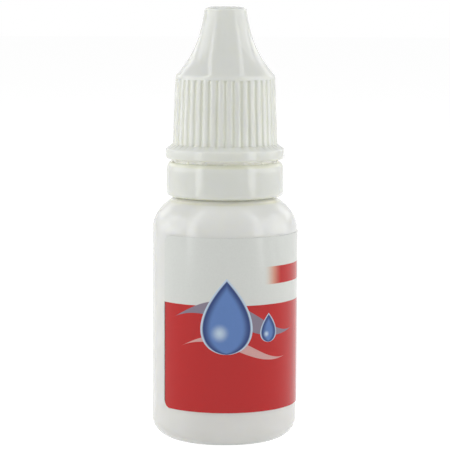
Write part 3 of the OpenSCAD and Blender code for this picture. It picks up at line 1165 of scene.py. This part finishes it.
@dataclass
class SqueezeBottle(SubAssembly):
    """Blow-moulded bottle: body, rounded base with its push-up, shoulder and threaded neck.

    Args:
        edge_round: Rounding of its sharp edges.
        base_round: Radius of the rounded edge at the base.
        foot_w: Width of the flat ring that the bottle stands on.
        push_up_h: Rise of the hollow under the base.
        wall_t: Thickness of the side wall.
        floor_t: Thickness of the floor.
        seam_l: Length of the pinched seam under the base.
        seam_w: Width of the seam.
        seam_h: Depth of the seam below the hollow.
        rim_bevel: Bevel on the edges of the rim.
        bead_h: Height of the bead that holds the tamper ring.
        bead_edge_h: Height of the straight edge of that bead.
        parting_h: Height of the parting line.
        parting_w: Distance from its middle at which it is down to 1 / e of its height.
        parting_start_r: Radius at which it starts to stand out.
        parting_fade_l: How much farther out it would have its full height.
        parting_end_l: Distance from the straight side over which it ends.
        parting_columns: Distances from its middle of the columns of points beside it.
        gap_reach: How far past the ring's foot the shoulder takes the painted gap light.
        gap_fade_l: Length over which that painted light fades in there.
        gap_fade_h: Height above the ring's foot over which it fades out.
        columns: Columns of points round the bottle, besides those.
    """

    node = "bottle"
    body = "bottle"
    slot = "bottle_ldpe"

    edge_round: float = 0.14
    base_round: float = 3.5
    foot_w: float = 1.6
    push_up_h: float = 0.8
    wall_t: float = 0.9
    floor_t: float = 1.1
    seam_l: float = 9.0
    seam_w: float = 0.7
    seam_h: float = 0.3
    rim_bevel: float = 0.3
    bead_h: float = 1.6
    bead_edge_h: float = 0.5
    parting_h: float = 0.025
    parting_w: float = 0.16
    parting_start_r: float = 4.5
    parting_fade_l: float = 9.0
    parting_end_l: float = 0.1
    parting_columns: tuple[float, ...] = (0.07, 0.15, 0.25, 0.4, 0.7)
    gap_reach: float = 0.8
    gap_fade_l: float = 0.6
    gap_fade_h: float = 1.0
    columns: int = 160

    def outline(self) -> Array:
        """Outside from the middle of the base up to the rim, and inside back down.

        Returns:
            Radius and height of each row, (rows, 2).
        """
        fit = self.fit
        foot_r = fit.body_r - self.base_round
        foot_in_r = foot_r - self.foot_w
        hollow_r = foot_in_r - self.push_up_h
        in_w, in_h = fit.shoulder_w - self.wall_t, fit.shoulder_h - self.wall_t
        in_round = self.base_round - self.wall_t
        top_a = math.degrees(math.acos((fit.neck_r - fit.shoulder_c) / fit.shoulder_w))
        in_top_a = math.degrees(math.acos((fit.bore_r - fit.shoulder_c) / in_w))
        bead_top, bevel = fit.bead_z + self.bead_h, self.rim_bevel
        points = join(
            [[0, self.push_up_h], [hollow_r, self.push_up_h], [foot_in_r, 0]],
            oval(foot_r, self.base_round, self.base_round, self.base_round, -90, 0, steps=24),
            oval(fit.shoulder_c, fit.side_h, fit.shoulder_w, fit.shoulder_h, 0, top_a, steps=30),
            [[fit.neck_r, fit.bead_z], [fit.bead_r, fit.bead_z]],
            [[fit.bead_r, fit.bead_z + self.bead_edge_h], [fit.neck_r, bead_top]],
            [[fit.neck_r, fit.neck_top - bevel], [fit.neck_r - bevel, fit.neck_top]],
            [[fit.bore_r + bevel, fit.neck_top], [fit.bore_r, fit.neck_top - bevel]],
            oval(fit.shoulder_c, fit.side_h, in_w, in_h, in_top_a, 0),
            oval(foot_r, self.base_round, in_round, in_round, 0, -90),
            [[foot_in_r, self.wall_t], [hollow_r, self.push_up_h + self.floor_t]],
            [[0, self.push_up_h + self.floor_t]],
        )
        return soften(points, self.edge_round)

    def shape(self) -> bpy.types.Object:
        """Turn the outline, with the mould's parting line as a fine raised line on both sides.

        The line stands out by its height times exp(-(t / width)^2), where t is the distance
        from the plane in which the two halves of the mould met. It grows with the radius, and
        ends just before the straight side.

        Returns:
            The new object, at the origin.
        """
        fit = self.fit
        beside = np.array(self.parting_columns) / fit.body_r
        near = join(-beside, [0], beside)
        turns = join(even_turn(self.columns), near, near + np.pi) % (2 * np.pi)
        # Columns that fall together become one
        turns = np.unique(turns.round(7))
        outline = self.outline()
        r, z = outline.T
        outside = np.arange(len(outline)) < np.argmax(z)
        start, end = self.parting_start_r, fit.body_r
        grow = ramp(r, start, start + self.parting_fade_l)
        share = np.minimum(grow, ramp(r, end, end - self.parting_end_l))
        share = share * (outside & (z < fit.bead_z))
        t = r[:, None] * np.sin(turns)
        line = self.parting_h * np.exp(-((t / self.parting_w) ** 2)) * share[:, None]
        wall = lathe(outline, turns, dent=-line)
        # Painted light on the shoulder under the tamper ring, where the ring shades it
        gap_r = fit.ring_foot_r + self.gap_reach
        gap_light_share = ramp(r, gap_r, gap_r - self.gap_fade_l) * (z > fit.side_h)
        gap_light_share = gap_light_share * ramp(z, fit.ring_z + self.gap_fade_h, fit.ring_z)
        wall.marks = np.broadcast_to(gap_light_share[:, None], t.shape)
        seam_z = self.push_up_h - self.seam_h / 2 + self.floor_t / 4
        seam = (self.seam_l, self.seam_w, self.seam_h + self.floor_t / 2)
        skins = [wall, fit.neck_ridge().skin(), rounded_block((0, 0, seam_z), seam)]
        return make_piece("bottle_moulding", skins)

    def finish(self) -> Finish:
        """Smooth blown polyethylene."""
        return BLOWN_LDPE


@dataclass
class DropperTip(SubAssembly):
    """Press-in nozzle: hollow plug with two sealing beads, flange, cone and drop cup.

    Args:
        edge_round: Rounding of its sharp edges.
        plug_h: Depth of the plug in the neck.
        plug_wall_t: Wall of the plug and of the nozzle.
        plug_gap: Gap between the plug and the bore.
        seal_bead_h: Height of one of the two sealing beads on the plug.
        seal_bead_gap: Gap between a sealing bead and the bore.
        bead_edge_share: Straight part of a sealing bead, as a share of its height.
        bead_shares: Places of the beads, as shares of the plug's depth.
        flange_inset: Inset of the flange from the outside of the neck.
        foot_d: Diameter of the collar at the foot of the nozzle.
        foot_h: Height of that collar.
        tip_d: Diameter of the nozzle at its tip.
        tip_round: Radius of the rounded lip of the tip.
        channel_l: Length of the drop channel below its cup.
        rim_bevel: Bevel at the foot of the plug.
        columns: Columns of points round the nozzle.
    """

    node = "dropper_tip"
    body = "bottle"
    slot = "tip_ldpe"

    edge_round: float = 0.12
    plug_h: float = 6.5
    plug_wall_t: float = 1.0
    plug_gap: float = 0.08
    seal_bead_h: float = 0.9
    seal_bead_gap: float = 0.01
    bead_edge_share: float = 0.5
    bead_shares: tuple[float, float] = (0.25, 0.7)
    flange_inset: float = 0.2
    foot_d: float = 8.6
    foot_h: float = 1.5
    tip_d: float = 3.8
    tip_round: float = 0.6
    channel_l: float = 2.2
    rim_bevel: float = 0.3
    columns: int = 128

    def outline(self) -> Array:
        """Outside from the plug's foot up to the drop cup, and the bore back down.

        Returns:
            Radius and height of each row, (rows, 2).
        """
        fit = self.fit
        plug_r = fit.bore_r - self.plug_gap
        bead_r = fit.bore_r - self.seal_bead_gap
        plug_z = fit.neck_top - self.plug_h
        in_r = plug_r - self.plug_wall_t
        lean = self.seal_bead_h * (1 - self.bead_edge_share) / 2
        bead = join(
            [[plug_r, 0], [bead_r, lean]],
            [[bead_r, self.seal_bead_h - lean], [plug_r, self.seal_bead_h]],
        )
        beads = [bead + (0, plug_z + share * self.plug_h) for share in self.bead_shares]
        flange_r, foot_r = fit.neck_r - self.flange_inset, self.foot_d / 2
        tip_r, round_r = self.tip_d / 2, self.tip_round
        channel_r, cup_z = fit.channel_d / 2, fit.tip_z - fit.cup_h
        points = join(
            [[in_r, plug_z], [plug_r - self.rim_bevel, plug_z], [plug_r, plug_z + self.rim_bevel]],
            *beads,
            [[plug_r, fit.neck_top], [flange_r, fit.neck_top], [flange_r, fit.nozzle_z]],
            [[foot_r, fit.nozzle_z], [foot_r, fit.nozzle_z + self.foot_h]],
            oval(tip_r - round_r, fit.tip_z - round_r, round_r, round_r, 0, 90, steps=10),
            [[fit.cup_d / 2, fit.tip_z], [channel_r, cup_z], [channel_r, cup_z - self.channel_l]],
            [[foot_r - self.plug_wall_t, fit.nozzle_z], [in_r, fit.neck_top]],
        )
        return soften(points, self.edge_round, closed=True)

    def shape(self) -> bpy.types.Object:
        """Turn the closed outline."""
        skin = lathe(self.outline(), even_turn(self.columns), closed=True)
        return make_piece("dropper_tip_moulding", [skin])

    def finish(self) -> Finish:
        """Waxy natural polyethylene."""
        return INJECTED_LDPE


@dataclass
class ScrewCap(SubAssembly):
    """Ribbed screw cap: flange, grooved skirt, rounded lip, hollow bell, boss and pin.

    Args:
        edge_round: Rounding of its sharp edges.
        flange_h: Height of the upright edge of the flange.
        flange_round: Rounding of the flange's edges.
        flange_end_a: Degrees up the upper rounding at which the slope starts.
        flange_slope_h: Height of the slope between the flange and the skirt.
        skirt_h: Height of the cap up to the lip of its bell.
        lip_wall_t: Wall round the bore at the lip.
        lip_round: Radius of the rounded lip.
        lip_end_a: Degrees up that round at which the bell starts.
        top_d: Diameter at which the bell would meet a flat top, were its edge not rounded.
        top_round_h: Height of the rounded edge of the top.
        top_round_w: Width of that edge, which leaves the top slightly domed.
        wall_t: Wall of the bell.
        cubic_share: Part of the bell's flare that grows as the cube of the depth.
        groove_count: Number of grooves round the skirt.
        groove_r: Half the width of a groove.
        groove_depth: Depth of a groove.
        groove_mark: Mark at the bottom of a groove, which sets how much painted rim light it takes.
        groove_top_gap: Land between the top of a groove and the lip.
        groove_foot_l: Height over which a groove runs out on the flange's slope.
        underside_h: How far up from the mouth the painted gap light reaches.
        underside_fade_h: Height over which that painted light fades in.
        crease: Angle in degrees past which an edge stays sharp.
        mouth_bevel: Bevel at the mouth.
        boss_d: Diameter of the boss that closes on the tip.
        pin_l: Reach of the sealing pin into the channel, below the drop cup.
        pin_gap: Gap between the pin and the channel.
        across_shares: Places across half a groove, as shares of its half width.
        depth_shares: Depth at each of them, as a share of the groove's depth.
    """

    node = "screw_cap"
    body = "screw_cap"
    slot = "cap_polypropylene"

    edge_round: float = 0.12
    flange_h: float = 1.9
    flange_round: float = 0.4
    flange_end_a: float = 45.0
    flange_slope_h: float = 0.7
    skirt_h: float = 14.2
    lip_wall_t: float = 1.42
    lip_round: float = 1.2
    lip_end_a: float = 45.0
    top_d: float = 7.24
    top_round_h: float = 0.65
    top_round_w: float = 2.3
    wall_t: float = 1.1
    cubic_share: float = 0.6
    groove_count: int = 40
    groove_r: float = 0.33
    groove_depth: float = 0.22
    groove_mark: float = 0.3
    groove_top_gap: float = 0.05
    groove_foot_l: float = 0.7
    underside_h: float = 0.3
    underside_fade_h: float = 0.25
    crease: float = 60.0
    mouth_bevel: float = 0.8
    boss_d: float = 3.2
    pin_l: float = 0.8
    pin_gap: float = 0.07
    across_shares: tuple[float, ...] = (0.0, 0.4, 0.75, 1.0, 1.25, 1.6)
    depth_shares: tuple[float, ...] = (1.0, 0.9, 0.6, 0.3, 0.11, 0.02)

    @property
    def lip_r(self) -> float:
        """Radius of the skirt at its lip."""
        return self.fit.cap_bore_r + self.lip_wall_t

    @property
    def lip_z(self) -> float:
        """Height of the widest part of the lip."""
        return self.fit.cap_z + self.skirt_h

    @property
    def slope_top(self) -> float:
        """Height at which the flange's slope meets the skirt."""
        return self.fit.cap_z + self.flange_h + self.flange_slope_h

    @property
    def bell_end(self) -> tuple[float, float]:
        """Radius and height at which the bell runs into the rounded lip.

        Returns:
            The radius and the height.
        """
        end = math.radians(self.lip_end_a)
        out = self.lip_r - self.lip_round * (1 - math.cos(end))
        return out, self.lip_z + self.lip_round * math.sin(end)

    def bell_r(self, u: Array | float) -> Array | float:
        """Radius of the bell where it is u of its height below the top.

        It grows from the top's radius to the lip's, part straight and part as u cubed.

        Args:
            u: Share of the bell's height, from zero to one.

        Returns:
            The radius.
        """
        grown = (1 - self.cubic_share) * u + self.cubic_share * u**3
        return self.top_d / 2 + (self.bell_end[0] - self.top_d / 2) * grown

    def skirt_rows(self) -> Array:
        """Rows up the leaning skirt, closer at its foot and where the grooves run out.

        Returns:
            Radius and height of each row, (rows, 2).
        """
        ease = 1 - np.cos(np.radians([30, 50, 70, 90]))
        low, top = self.slope_top, self.lip_z - self.groove_top_gap
        foot_l, low_gap, top_gap, even_count = 0.25, 1.5, 1.0, 6
        even_rows = np.linspace(low + low_gap, top - top_gap, even_count)
        z = join(low + foot_l * ease[2:], even_rows, top - self.groove_r * ease[::-1], [top])
        lean = (z - low) / (self.lip_z - low)
        return np.stack([self.fit.skirt_r + (self.lip_r - self.fit.skirt_r) * lean, z], 1)

    def outside(self) -> Array:
        """Outline from the flange's underside up to the edge of the top.

        Returns:
            Radius and height of each row, (rows, 2).
        """
        fit, edge, lip = self.fit, self.flange_round, self.lip_round
        edge_r, slope_z = fit.flange_r - edge, fit.cap_z + self.flange_h
        bell_h = fit.cap_top - self.bell_end[1]
        top_w, top_h = self.top_round_w, self.top_round_h
        top_u, rows = top_h / bell_h, 36
        u = 1 - (1 - top_u) * np.arange(1, rows) / rows
        top_r = self.bell_r(top_u) - top_w
        return join(
            oval(edge_r, fit.cap_z + edge, edge, edge, -90, 0, steps=8),
            oval(edge_r, slope_z - edge, edge, edge, 0, self.flange_end_a, steps=5),
            self.slope_rows(),
            self.skirt_rows(),
            oval(self.lip_r - lip, self.lip_z, lip, lip, 0, self.lip_end_a, steps=8),
            np.stack([self.bell_r(u), fit.cap_top - bell_h * u], 1),
            oval(top_r, fit.cap_top - top_h, top_w, top_h, 0, 90, steps=14),
        )

    def slope_rows(self) -> Array:
        """Even rows up the slope, from the flange's rounded edge to the skirt.

        Returns:
            Radius and height of each row, (rows, 2).
        """
        end, rows = math.radians(self.flange_end_a), 8
        low_r = self.fit.flange_r - self.flange_round * (1 - math.cos(end))
        low_z = self.fit.cap_z + self.flange_h - self.flange_round * (1 - math.sin(end))
        return np.linspace((low_r, low_z), (self.fit.skirt_r, self.slope_top), rows)[1:]

    def inside(self) -> Array:
        """Outline from the sealing pin out to the boss, the roof, and down to the mouth.

        Returns:
            Radius and height of each row, (rows, 2).
        """
        fit = self.fit
        roof_z, boss_z = fit.cap_top - fit.cap_top_t, fit.tip_z + fit.boss_gap
        cup_z, pin_r = fit.tip_z - fit.cup_h, fit.channel_d / 2 - self.pin_gap
        rows = 24
        z = np.linspace(roof_z, self.bell_end[1], rows)
        u = (fit.cap_top - z) / (fit.cap_top - self.bell_end[1])
        hollow = np.minimum(fit.cap_bore_r, self.bell_r(u) - self.wall_t)
        hollow[-1] = fit.cap_bore_r
        return join(
            [[0, cup_z - self.pin_l], [pin_r, cup_z - self.pin_l], [pin_r, cup_z + fit.boss_gap]],
            [[fit.cup_d / 2 - fit.boss_gap, boss_z], [self.boss_d / 2, boss_z]],
            [[self.boss_d / 2, roof_z]],
            np.stack([hollow, z], 1),
            [[fit.cap_bore_r, fit.cap_z + self.mouth_bevel]],
            [[fit.cap_bore_r + self.mouth_bevel, fit.cap_z]],
        )

    def groove_columns(self) -> tuple[Array, Array]:
        """Angles of the columns and how deep each lies in its groove, as a share.

        A groove is a trough whose edges are eased far into the land, so each rib is slightly
        round, and one more column runs along the rib's middle.

        Returns:
            Angles in radians and depths from zero to one.
        """
        half, sunk = np.array(self.across_shares), np.array(self.depth_shares)
        pitch = 2 * np.pi / self.groove_count
        trough = join(-half[:0:-1], half) * self.groove_r / self.fit.skirt_r
        across, depth = join(trough, [pitch / 2]), join(sunk[:0:-1], sunk, [0])
        starts = pitch * np.arange(self.groove_count)
        return (starts[:, None] + across).ravel(), np.tile(depth, self.groove_count)

    def shape(self) -> bpy.types.Object:
        """Turn the outline with its grooves cut in, and add the thread.

        Along a groove the depth is its full depth times an ease. The ease rises from zero in
        proportion to the height up the slope, and falls as a quarter of an ellipse to zero at
        the lip.

        Returns:
            The new object, at the origin.
        """
        outline = join(self.inside(), self.outside(), [[0, self.fit.cap_top]])
        outline = soften(outline, self.edge_round)
        turns, depth = self.groove_columns()
        r, z = outline.T
        top = self.lip_z - self.groove_top_gap
        rise = ramp(z, self.slope_top - self.groove_foot_l, self.slope_top)
        fall = ramp(z, top, top - self.groove_r)
        ease = np.minimum(rise, np.sqrt(1 - (1 - fall) ** 2))
        outside = r > (self.fit.cap_bore_r + self.lip_r) / 2
        groove = (ease * outside)[:, None] * depth
        skin = lathe(outline, turns, dent=groove * self.groove_depth)
        # Painted light: some rim colour in the grooves, and the gap colour at the mouth's underside
        hidden_z = self.fit.cap_z + self.underside_h
        hidden = ramp(z, hidden_z, hidden_z - self.underside_fade_h)
        skin.marks = np.maximum(groove * self.groove_mark, hidden[:, None])
        return make_piece("screw_cap_moulding", [skin, self.fit.cap_ridge().skin()], self.crease)

    def finish(self) -> Finish:
        """Glossy polypropylene."""
        return INJECTED_PP


@dataclass
class TamperRing(SubAssembly):
    """Tamper-evident ring with its catching lip, and the bridges and thin web on its top.

    Args:
        edge_round: Rounding of its sharp edges.
        round_w: Width of the rounding of the top edge.
        round_h: Height of that rounding.
        bridge_count: Number of bridges.
        bridge_w: Width of a bridge.
        bridge_t: Thickness of a bridge.
        bridge_inset: How far the bridges stand in from the rounded top edge.
        web_t: Thickness of the thin web between the bridges.
        web_inset: How far the web stands in from the outer faces of the bridges.
        bridge_sink: How deep the bridges and the web are sunk in the ring.
        bridge_part_gap: Hairline at their top, where they part from the cap.
        bridge_top_share: Width of a bridge at its top, as a share of that at its foot.
        web_top_share: The same for the web's thickness.
        web_round: Rounding of the web's edges.
        crest_h: How far below the top the painted rim light starts.
        crest_fade_h: Height over which it fades in.
        hidden_fade_l: Length over which the painted gap light fades in towards the foot and the bore.
        top_fade_h: Height over which it fades in towards the top.
        columns: Columns of points round the ring.
    """

    node = "tamper_ring"
    body = "tamper_ring"
    slot = "cap_polypropylene"

    edge_round: float = 0.12
    round_w: float = 0.9
    round_h: float = 1.6
    bridge_count: int = 16
    bridge_w: float = 0.9
    bridge_t: float = 0.6
    bridge_inset: float = 0.05
    web_t: float = 0.3
    web_inset: float = 0.15
    bridge_sink: float = 0.3
    bridge_part_gap: float = 0.05
    bridge_top_share: float = 0.75
    web_top_share: float = 0.8
    web_round: float = 0.06
    crest_h: float = 0.72
    crest_fade_h: float = 0.06
    hidden_fade_l: float = 0.3
    top_fade_h: float = 0.1
    columns: int = 192

    def outline(self) -> Array:
        """Section of the ring, from the slope on its lip round the outside to its bore.

        Returns:
            Radius and height of each row, (rows, 2).
        """
        fit, foot, w, h = self.fit, self.fit.ring_foot_round, self.round_w, self.round_h
        points = join(
            [[fit.ring_bore_r, fit.ring_shelf_z], [fit.ring_lip_r, fit.ring_lip_z + fit.ring_lip_h]],
            [[fit.ring_lip_r, fit.ring_lip_z], [fit.ring_foot_r, fit.ring_z]],
            oval(fit.ring_r - foot, fit.ring_z + foot, foot, foot, -90, 0, steps=10),
            oval(fit.ring_r - w, fit.ring_top - h, w, h, 0, 90, steps=16),
            [[fit.ring_bore_r, fit.ring_top]],
        )
        return soften(points, self.edge_round, closed=True)

    def band(self) -> Skin:
        """Turn the section, marked for painted light on its crest and on all faces that the gaps
        hide.

        Returns:
            The marked skin.
        """
        fit, outline = self.fit, self.outline()
        r, z = outline.T
        crest_z, fade = fit.ring_top - self.crest_h, self.hidden_fade_l
        marks = np.stack([
            RIM_MARK * ramp(z, crest_z, crest_z + self.crest_fade_h),
            ramp(z, fit.ring_z + fade, fit.ring_z),
            ramp(r, fit.ring_bore_r + fade, fit.ring_bore_r),
            ramp(z, fit.ring_top - self.top_fade_h, fit.ring_top),
        ])
        band = lathe(outline, even_turn(self.columns), closed=True)
        band.marks = np.broadcast_to(marks.max(0)[:, None], band.points.shape[:2])
        return band

    def shape(self) -> bpy.types.Object:
        """Stand the web and bridges on the band, narrowed towards the cap.

        Returns:
            The new object, at the origin.
        """
        fit = self.fit
        out_r = fit.ring_r - self.round_w - self.bridge_inset
        height = self.bridge_sink + fit.bridge_h - self.bridge_part_gap
        low = fit.ring_top - self.bridge_sink
        top, middle = low + height, (out_r - self.bridge_t / 2, 0, low + height / 2)
        size = (self.bridge_t, self.bridge_w, height)
        bridge = rounded_block(middle, size, self.bridge_top_share)
        wide, narrow = self.web_t / 2, self.web_t / 2 * self.web_top_share
        section = join([[-wide, low], [wide, low], [narrow, top], [-narrow, top]])
        section = soften(section + (out_r - self.web_inset - wide, 0), self.web_round, closed=True)
        web = lathe(section, even_turn(self.columns), closed=True)
        # The web and bridges take the full painted gap light
        for skin in (web, bridge):
            skin.marks = np.ones(skin.points.shape[:2])
        bridges = [turned(bridge, angle) for angle in even_turn(self.bridge_count)]
        return make_piece("tamper_ring_moulding", [self.band(), web, *bridges])

    def finish(self) -> Finish:
        """The cap's own polypropylene, since both come out of one mould."""
        return INJECTED_PP


@dataclass
class WrapLabel(SubAssembly):
    """Printed film wrapped round the body, with rounded corners and a bare strip behind.

    Args:
        glue_t: Thickness of the glue under the film.
        film_t: Thickness of the film.
        low_z: Height of the film's lower edge.
        top_z: Height of its upper edge.
        corner: Radius of its corners.
        left_a: Degrees from the front to its left edge.
        bare_a: Degrees of the bottle that it leaves bare.
    """

    node = "label"
    body = "bottle"
    slot = "label_film"

    glue_t: float = 0.03
    film_t: float = 0.1
    low_z: float = 6.45
    top_z: float = 37.25
    corner: float = 1.5
    left_a: float = 54.0
    bare_a: float = 45.0

    @property
    def out_r(self) -> float:
        """Radius of the film's printed face."""
        return self.fit.body_r + self.glue_t + self.film_t

    @property
    def left(self) -> float:
        """The film's left edge, in mm across from the front's centre line."""
        return -math.radians(self.left_a) * self.out_r

    @property
    def right(self) -> float:
        """The film's right edge."""
        return self.left + math.radians(360 - self.bare_a) * self.out_r

    def shape(self) -> bpy.types.Object:
        """Bend a flat film with rounded corners round the body.

        A place x across and z up lies at angle x / radius past the front. Near each end, at
        distance d from it, the film's lower and upper edges draw in by
        corner - sqrt(corner^2 - (corner - d)^2). Each row runs up the printed face and back
        down the glued one, and the end rows meet halfway through the film.

        Returns:
            The new object, at the origin.
        """
        corner_columns, long_columns, rows = 10, 300, 9
        ease = self.corner * (1 - np.cos(np.radians(np.linspace(0, 90, corner_columns))))
        long_ends = (self.left + self.corner, self.right - self.corner)
        middle = np.linspace(*long_ends, long_columns)[1:-1]
        x = join(self.left + ease, middle, self.right - ease[::-1])
        d = np.minimum(np.minimum(x - self.left, self.right - x), self.corner)
        inset = self.corner - np.sqrt(np.maximum(self.corner**2 - (self.corner - d) ** 2, 0))
        share = np.linspace(0, 1, rows)
        low, top = self.low_z + inset[:, None], self.top_z - inset[:, None]
        up = low + (top - low) * share
        z = np.concatenate([up, up[:, ::-1]], 1)
        r_in = self.out_r - self.film_t
        r = np.repeat([self.out_r, r_in], len(share))[None, :] + 0 * z
        half = np.full((1, z.shape[1]), (self.out_r + r_in) / 2)
        x, z, r = (join(grid[:1], grid, grid[-1:]) for grid in (x[:, None], z, r))
        r[0], r[-1] = half, half
        a = x / self.out_r - np.pi / 2
        points = np.stack([r * np.cos(a), r * np.sin(a), z], -1)
        piece = make_piece("wrap_label_film", [Skin(points)])
        self.map_print(piece.data)
        return piece

    def map_print(self, mesh: bpy.types.Mesh) -> None:
        """Give each corner its place on the print, in mm across and up.

        Args:
            mesh: The film's mesh, in metres.
        """
        co = np.empty(len(mesh.vertices) * 3)
        mesh.vertices.foreach_get("co", co)
        x, y, z = co.reshape(-1, 3).T / MM
        start, margin = self.left / self.out_r - np.pi / 2, 0.2
        turn = (np.arctan2(y, x) - start + margin) % (2 * np.pi) - margin
        loops = np.empty(len(mesh.loops), np.int32)
        mesh.loops.foreach_get("vertex_index", loops)
        flat = np.stack([self.left + turn * self.out_r, z], 1)[loops]
        mesh.uv_layers.new(name="print").data.foreach_set("uv", flat.ravel())

    def finish(self) -> Finish:
        """Printed and varnished film."""
        return PrintedFilm("Printed and varnished polypropylene film", self.left, self.right)


# Studio


@dataclass(frozen=True)
class Softbox:
    """A rectangular lamp that faces the bottle's axis.

    Args:
        name: Name of the lamp.
        azimuth: Degrees round from the camera's side, to the right if positive.
        distance: Distance from the axis in metres.
        width: Width in metres.
        middle: Height of its middle above the floor in metres.
        height: Its own height in metres.
        radiance: Brightness of its face, where white paper in full light is one.
        tilt: Degrees that it faces down.
        lean: Degrees that its top leans away from the camera.
        mirrored: Whether glossy faces show it.
    """

    name: str
    azimuth: float
    distance: float
    width: float
    middle: float
    height: float
    radiance: float
    tilt: float = 0
    lean: float = 0
    mirrored: bool = True

    def pair(self) -> tuple["Softbox", "Softbox"]:
        """The same lamp on the left and on the right."""
        right = replace(self, name="right_" + self.name)
        return replace(self, name="left_" + self.name, azimuth=-self.azimuth), right

    def place(self) -> None:
        """Put the lamp in the scene, with the power that gives its face the radiance."""
        lamp = bpy.data.lights.new(self.name, "AREA")
        lamp.shape = "RECTANGLE"
        lamp.size, lamp.size_y = self.width, self.height
        lamp.energy = self.radiance * math.pi * lamp.size * lamp.size_y
        obj = bpy.data.objects.new(self.name, lamp)
        around, tilt = math.radians(self.azimuth), math.radians(self.tilt)
        away = Vector((math.sin(around), -math.cos(around), 0))
        obj.location = away * self.distance + Vector((0, 0, self.middle))
        back = away * math.cos(tilt) + Vector((0, 0, math.sin(tilt)))
        aside = Vector((math.cos(around), math.sin(around), 0)) * math.copysign(1, math.sin(around))
        side = (Vector((0, 0, 1)) + aside * math.tan(math.radians(self.lean))).cross(back)
        axes = (side.normalized(), back.cross(side).normalized(), back)
        obj.rotation_euler = Matrix(axes).transposed().to_euler()
        obj.visible_glossy = self.mirrored
        bpy.context.scene.collection.objects.link(obj)


@dataclass
class Studio:
    """White tent: strips in front and behind, softboxes beside, above and in front, a table light.

    Args:
        aim_z: Height that the camera looks at, in metres.
        camera_distance: Distance from there to the camera, in metres.
        camera_pitch: Degrees that it looks down.
        camera_roll: Degrees that it is turned about its own axis.
        camera_side: How far it stands to the right, in metres.
        focal_px: Focal length in pixels of the photograph.
        image_px: Width of the photograph in pixels.
        tent: Strength of the even light from all round.
        floor_r: Radius of the floor in metres.
        boxes: The lamps.
    """

    aim_z: float = 0.03808
    camera_distance: float = 0.35
    camera_pitch: float = 6.55
    camera_roll: float = 0.23
    camera_side: float = 0.00004
    focal_px: float = 1948.8
    image_px: float = 450.0
    tent: float = 0.12
    floor_r: float = 4.0
    boxes: tuple[Softbox, ...] = (
        Softbox("left_strip", -68, 0.24, 0.072, 0.4, 0.8, 2.75, lean=11),
        Softbox("right_strip", 70, 0.24, 0.072, 0.4, 0.8, 2.55, lean=11),
        *Softbox("top_softbox", 72, 0.32, 0.3, 0.55, 0.3, 0.85, tilt=58, mirrored=False).pair(),
        *Softbox("side_softbox", 95, 0.9, 0.8, 0.4, 0.8, 1.5).pair(),
        Softbox("front_table_light", 0, 0.17, 0.5, 0.003, 0.22, 0.5, tilt=-84, mirrored=False),
        Softbox("front_softbox", 0, 0.5, 0.5, 0.22, 0.24, 0.5, tilt=20, mirrored=False),
        *Softbox("rear_strip", 140, 0.9, 0.36, 0.4, 0.34, 1.1).pair(),
    )

    def build(self) -> None:
        """Make the floor, tent, lamps and camera, and set the plain view."""
        self.floor()
        self.world()
        for box in self.boxes:
            box.place()
        self.camera()
        bpy.context.scene.view_settings.view_transform = "Standard"

    def floor(self) -> None:
        """Lay a flat round sweep: radius grows as the square of the row's share."""
        rows, columns = 12, 64
        share = np.linspace(0, 1, rows)[::-1]
        rim = np.stack([self.floor_r / MM * share**2, 0 * share], 1)
        sweep = make_piece("studio_sweep", [lathe(rim, even_turn(columns))])
        sweep.data.materials.append(PaleSweep().material())

    def world(self) -> None:
        """Light evenly from all round, and look white to the camera and in reflections."""
        world = bpy.data.worlds.new("white_tent")
        bpy.context.scene.world = world
        world.use_nodes = True
        tree = world.node_tree
        tree.nodes.clear()
        lit, seen = (
            add_node(tree, "Background", {"Color": linear(WHITE), "Strength": strength})
            for strength in (self.tent, 1.0)
        )
        mixed = add_node(tree, "MixShader", [looked_at(tree), lit, seen])
        add_node(tree, "OutputWorld", {"Surface": mixed})

    def camera(self) -> None:
        """Stand the camera where the photograph was taken, looking slightly down."""
        data = bpy.data.cameras.new("photo_camera")
        data.sensor_width = 36
        data.lens = self.focal_px / self.image_px * data.sensor_width
        data.clip_start, data.clip_end = 0.01, 50
        camera = bpy.data.objects.new("photo_camera", data)
        pitch = math.radians(self.camera_pitch)
        back = Vector((0, -math.cos(pitch), math.sin(pitch))) * self.camera_distance
        place = Vector((self.camera_side, 0, self.aim_z)) + back
        turn = Euler((math.pi / 2 - pitch, 0, 0)).to_matrix().to_4x4()
        roll = Matrix.Rotation(math.radians(self.camera_roll), 4, "Z")
        camera.matrix_world = Matrix.Translation(place) @ turn @ roll
        bpy.context.scene.collection.objects.link(camera)
        bpy.context.scene.camera = camera


# Report


def report(part: SubAssembly, piece: bpy.types.Object) -> None:
    """Log how closely a piece fills its node's box, its volume and its triangles.

    Args:
        part: The sub-assembly.
        piece: Its finished object.
    """
    mesh = piece.data
    co = np.empty(len(mesh.vertices) * 3)
    mesh.vertices.foreach_get("co", co)
    co = co.reshape(-1, 3)
    low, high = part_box(part.node)
    off = max(np.abs(co.min(0) - np.array(low)).max(), np.abs(co.max(0) - np.array(high)).max())
    shell = bmesh.new()
    shell.from_mesh(mesh)
    volume = shell.calc_volume(signed=True) / MM**3
    loose = sum(not edge.is_manifold for edge in shell.edges)
    shell.free()
    triangles = sum(len(face.vertices) - 2 for face in mesh.polygons)
    LOG.info(
        "%s: %.3f mm off its node's box, %.1f mm3, %d triangles, %d open edges",
        piece.name, off / MM, volume, triangles, loose,
    )


def main() -> None:
    """Build and report the pieces in order, then the studio."""
    logging.basicConfig(level=logging.INFO, format="%(name)s: %(message)s")
    fit = Fit()
    for kind in (SqueezeBottle, DropperTip, ScrewCap, TamperRing, WrapLabel):
        part = kind(fit)
        report(part, part.build())
    Studio().build()


if __name__ == "__main__":
    main()
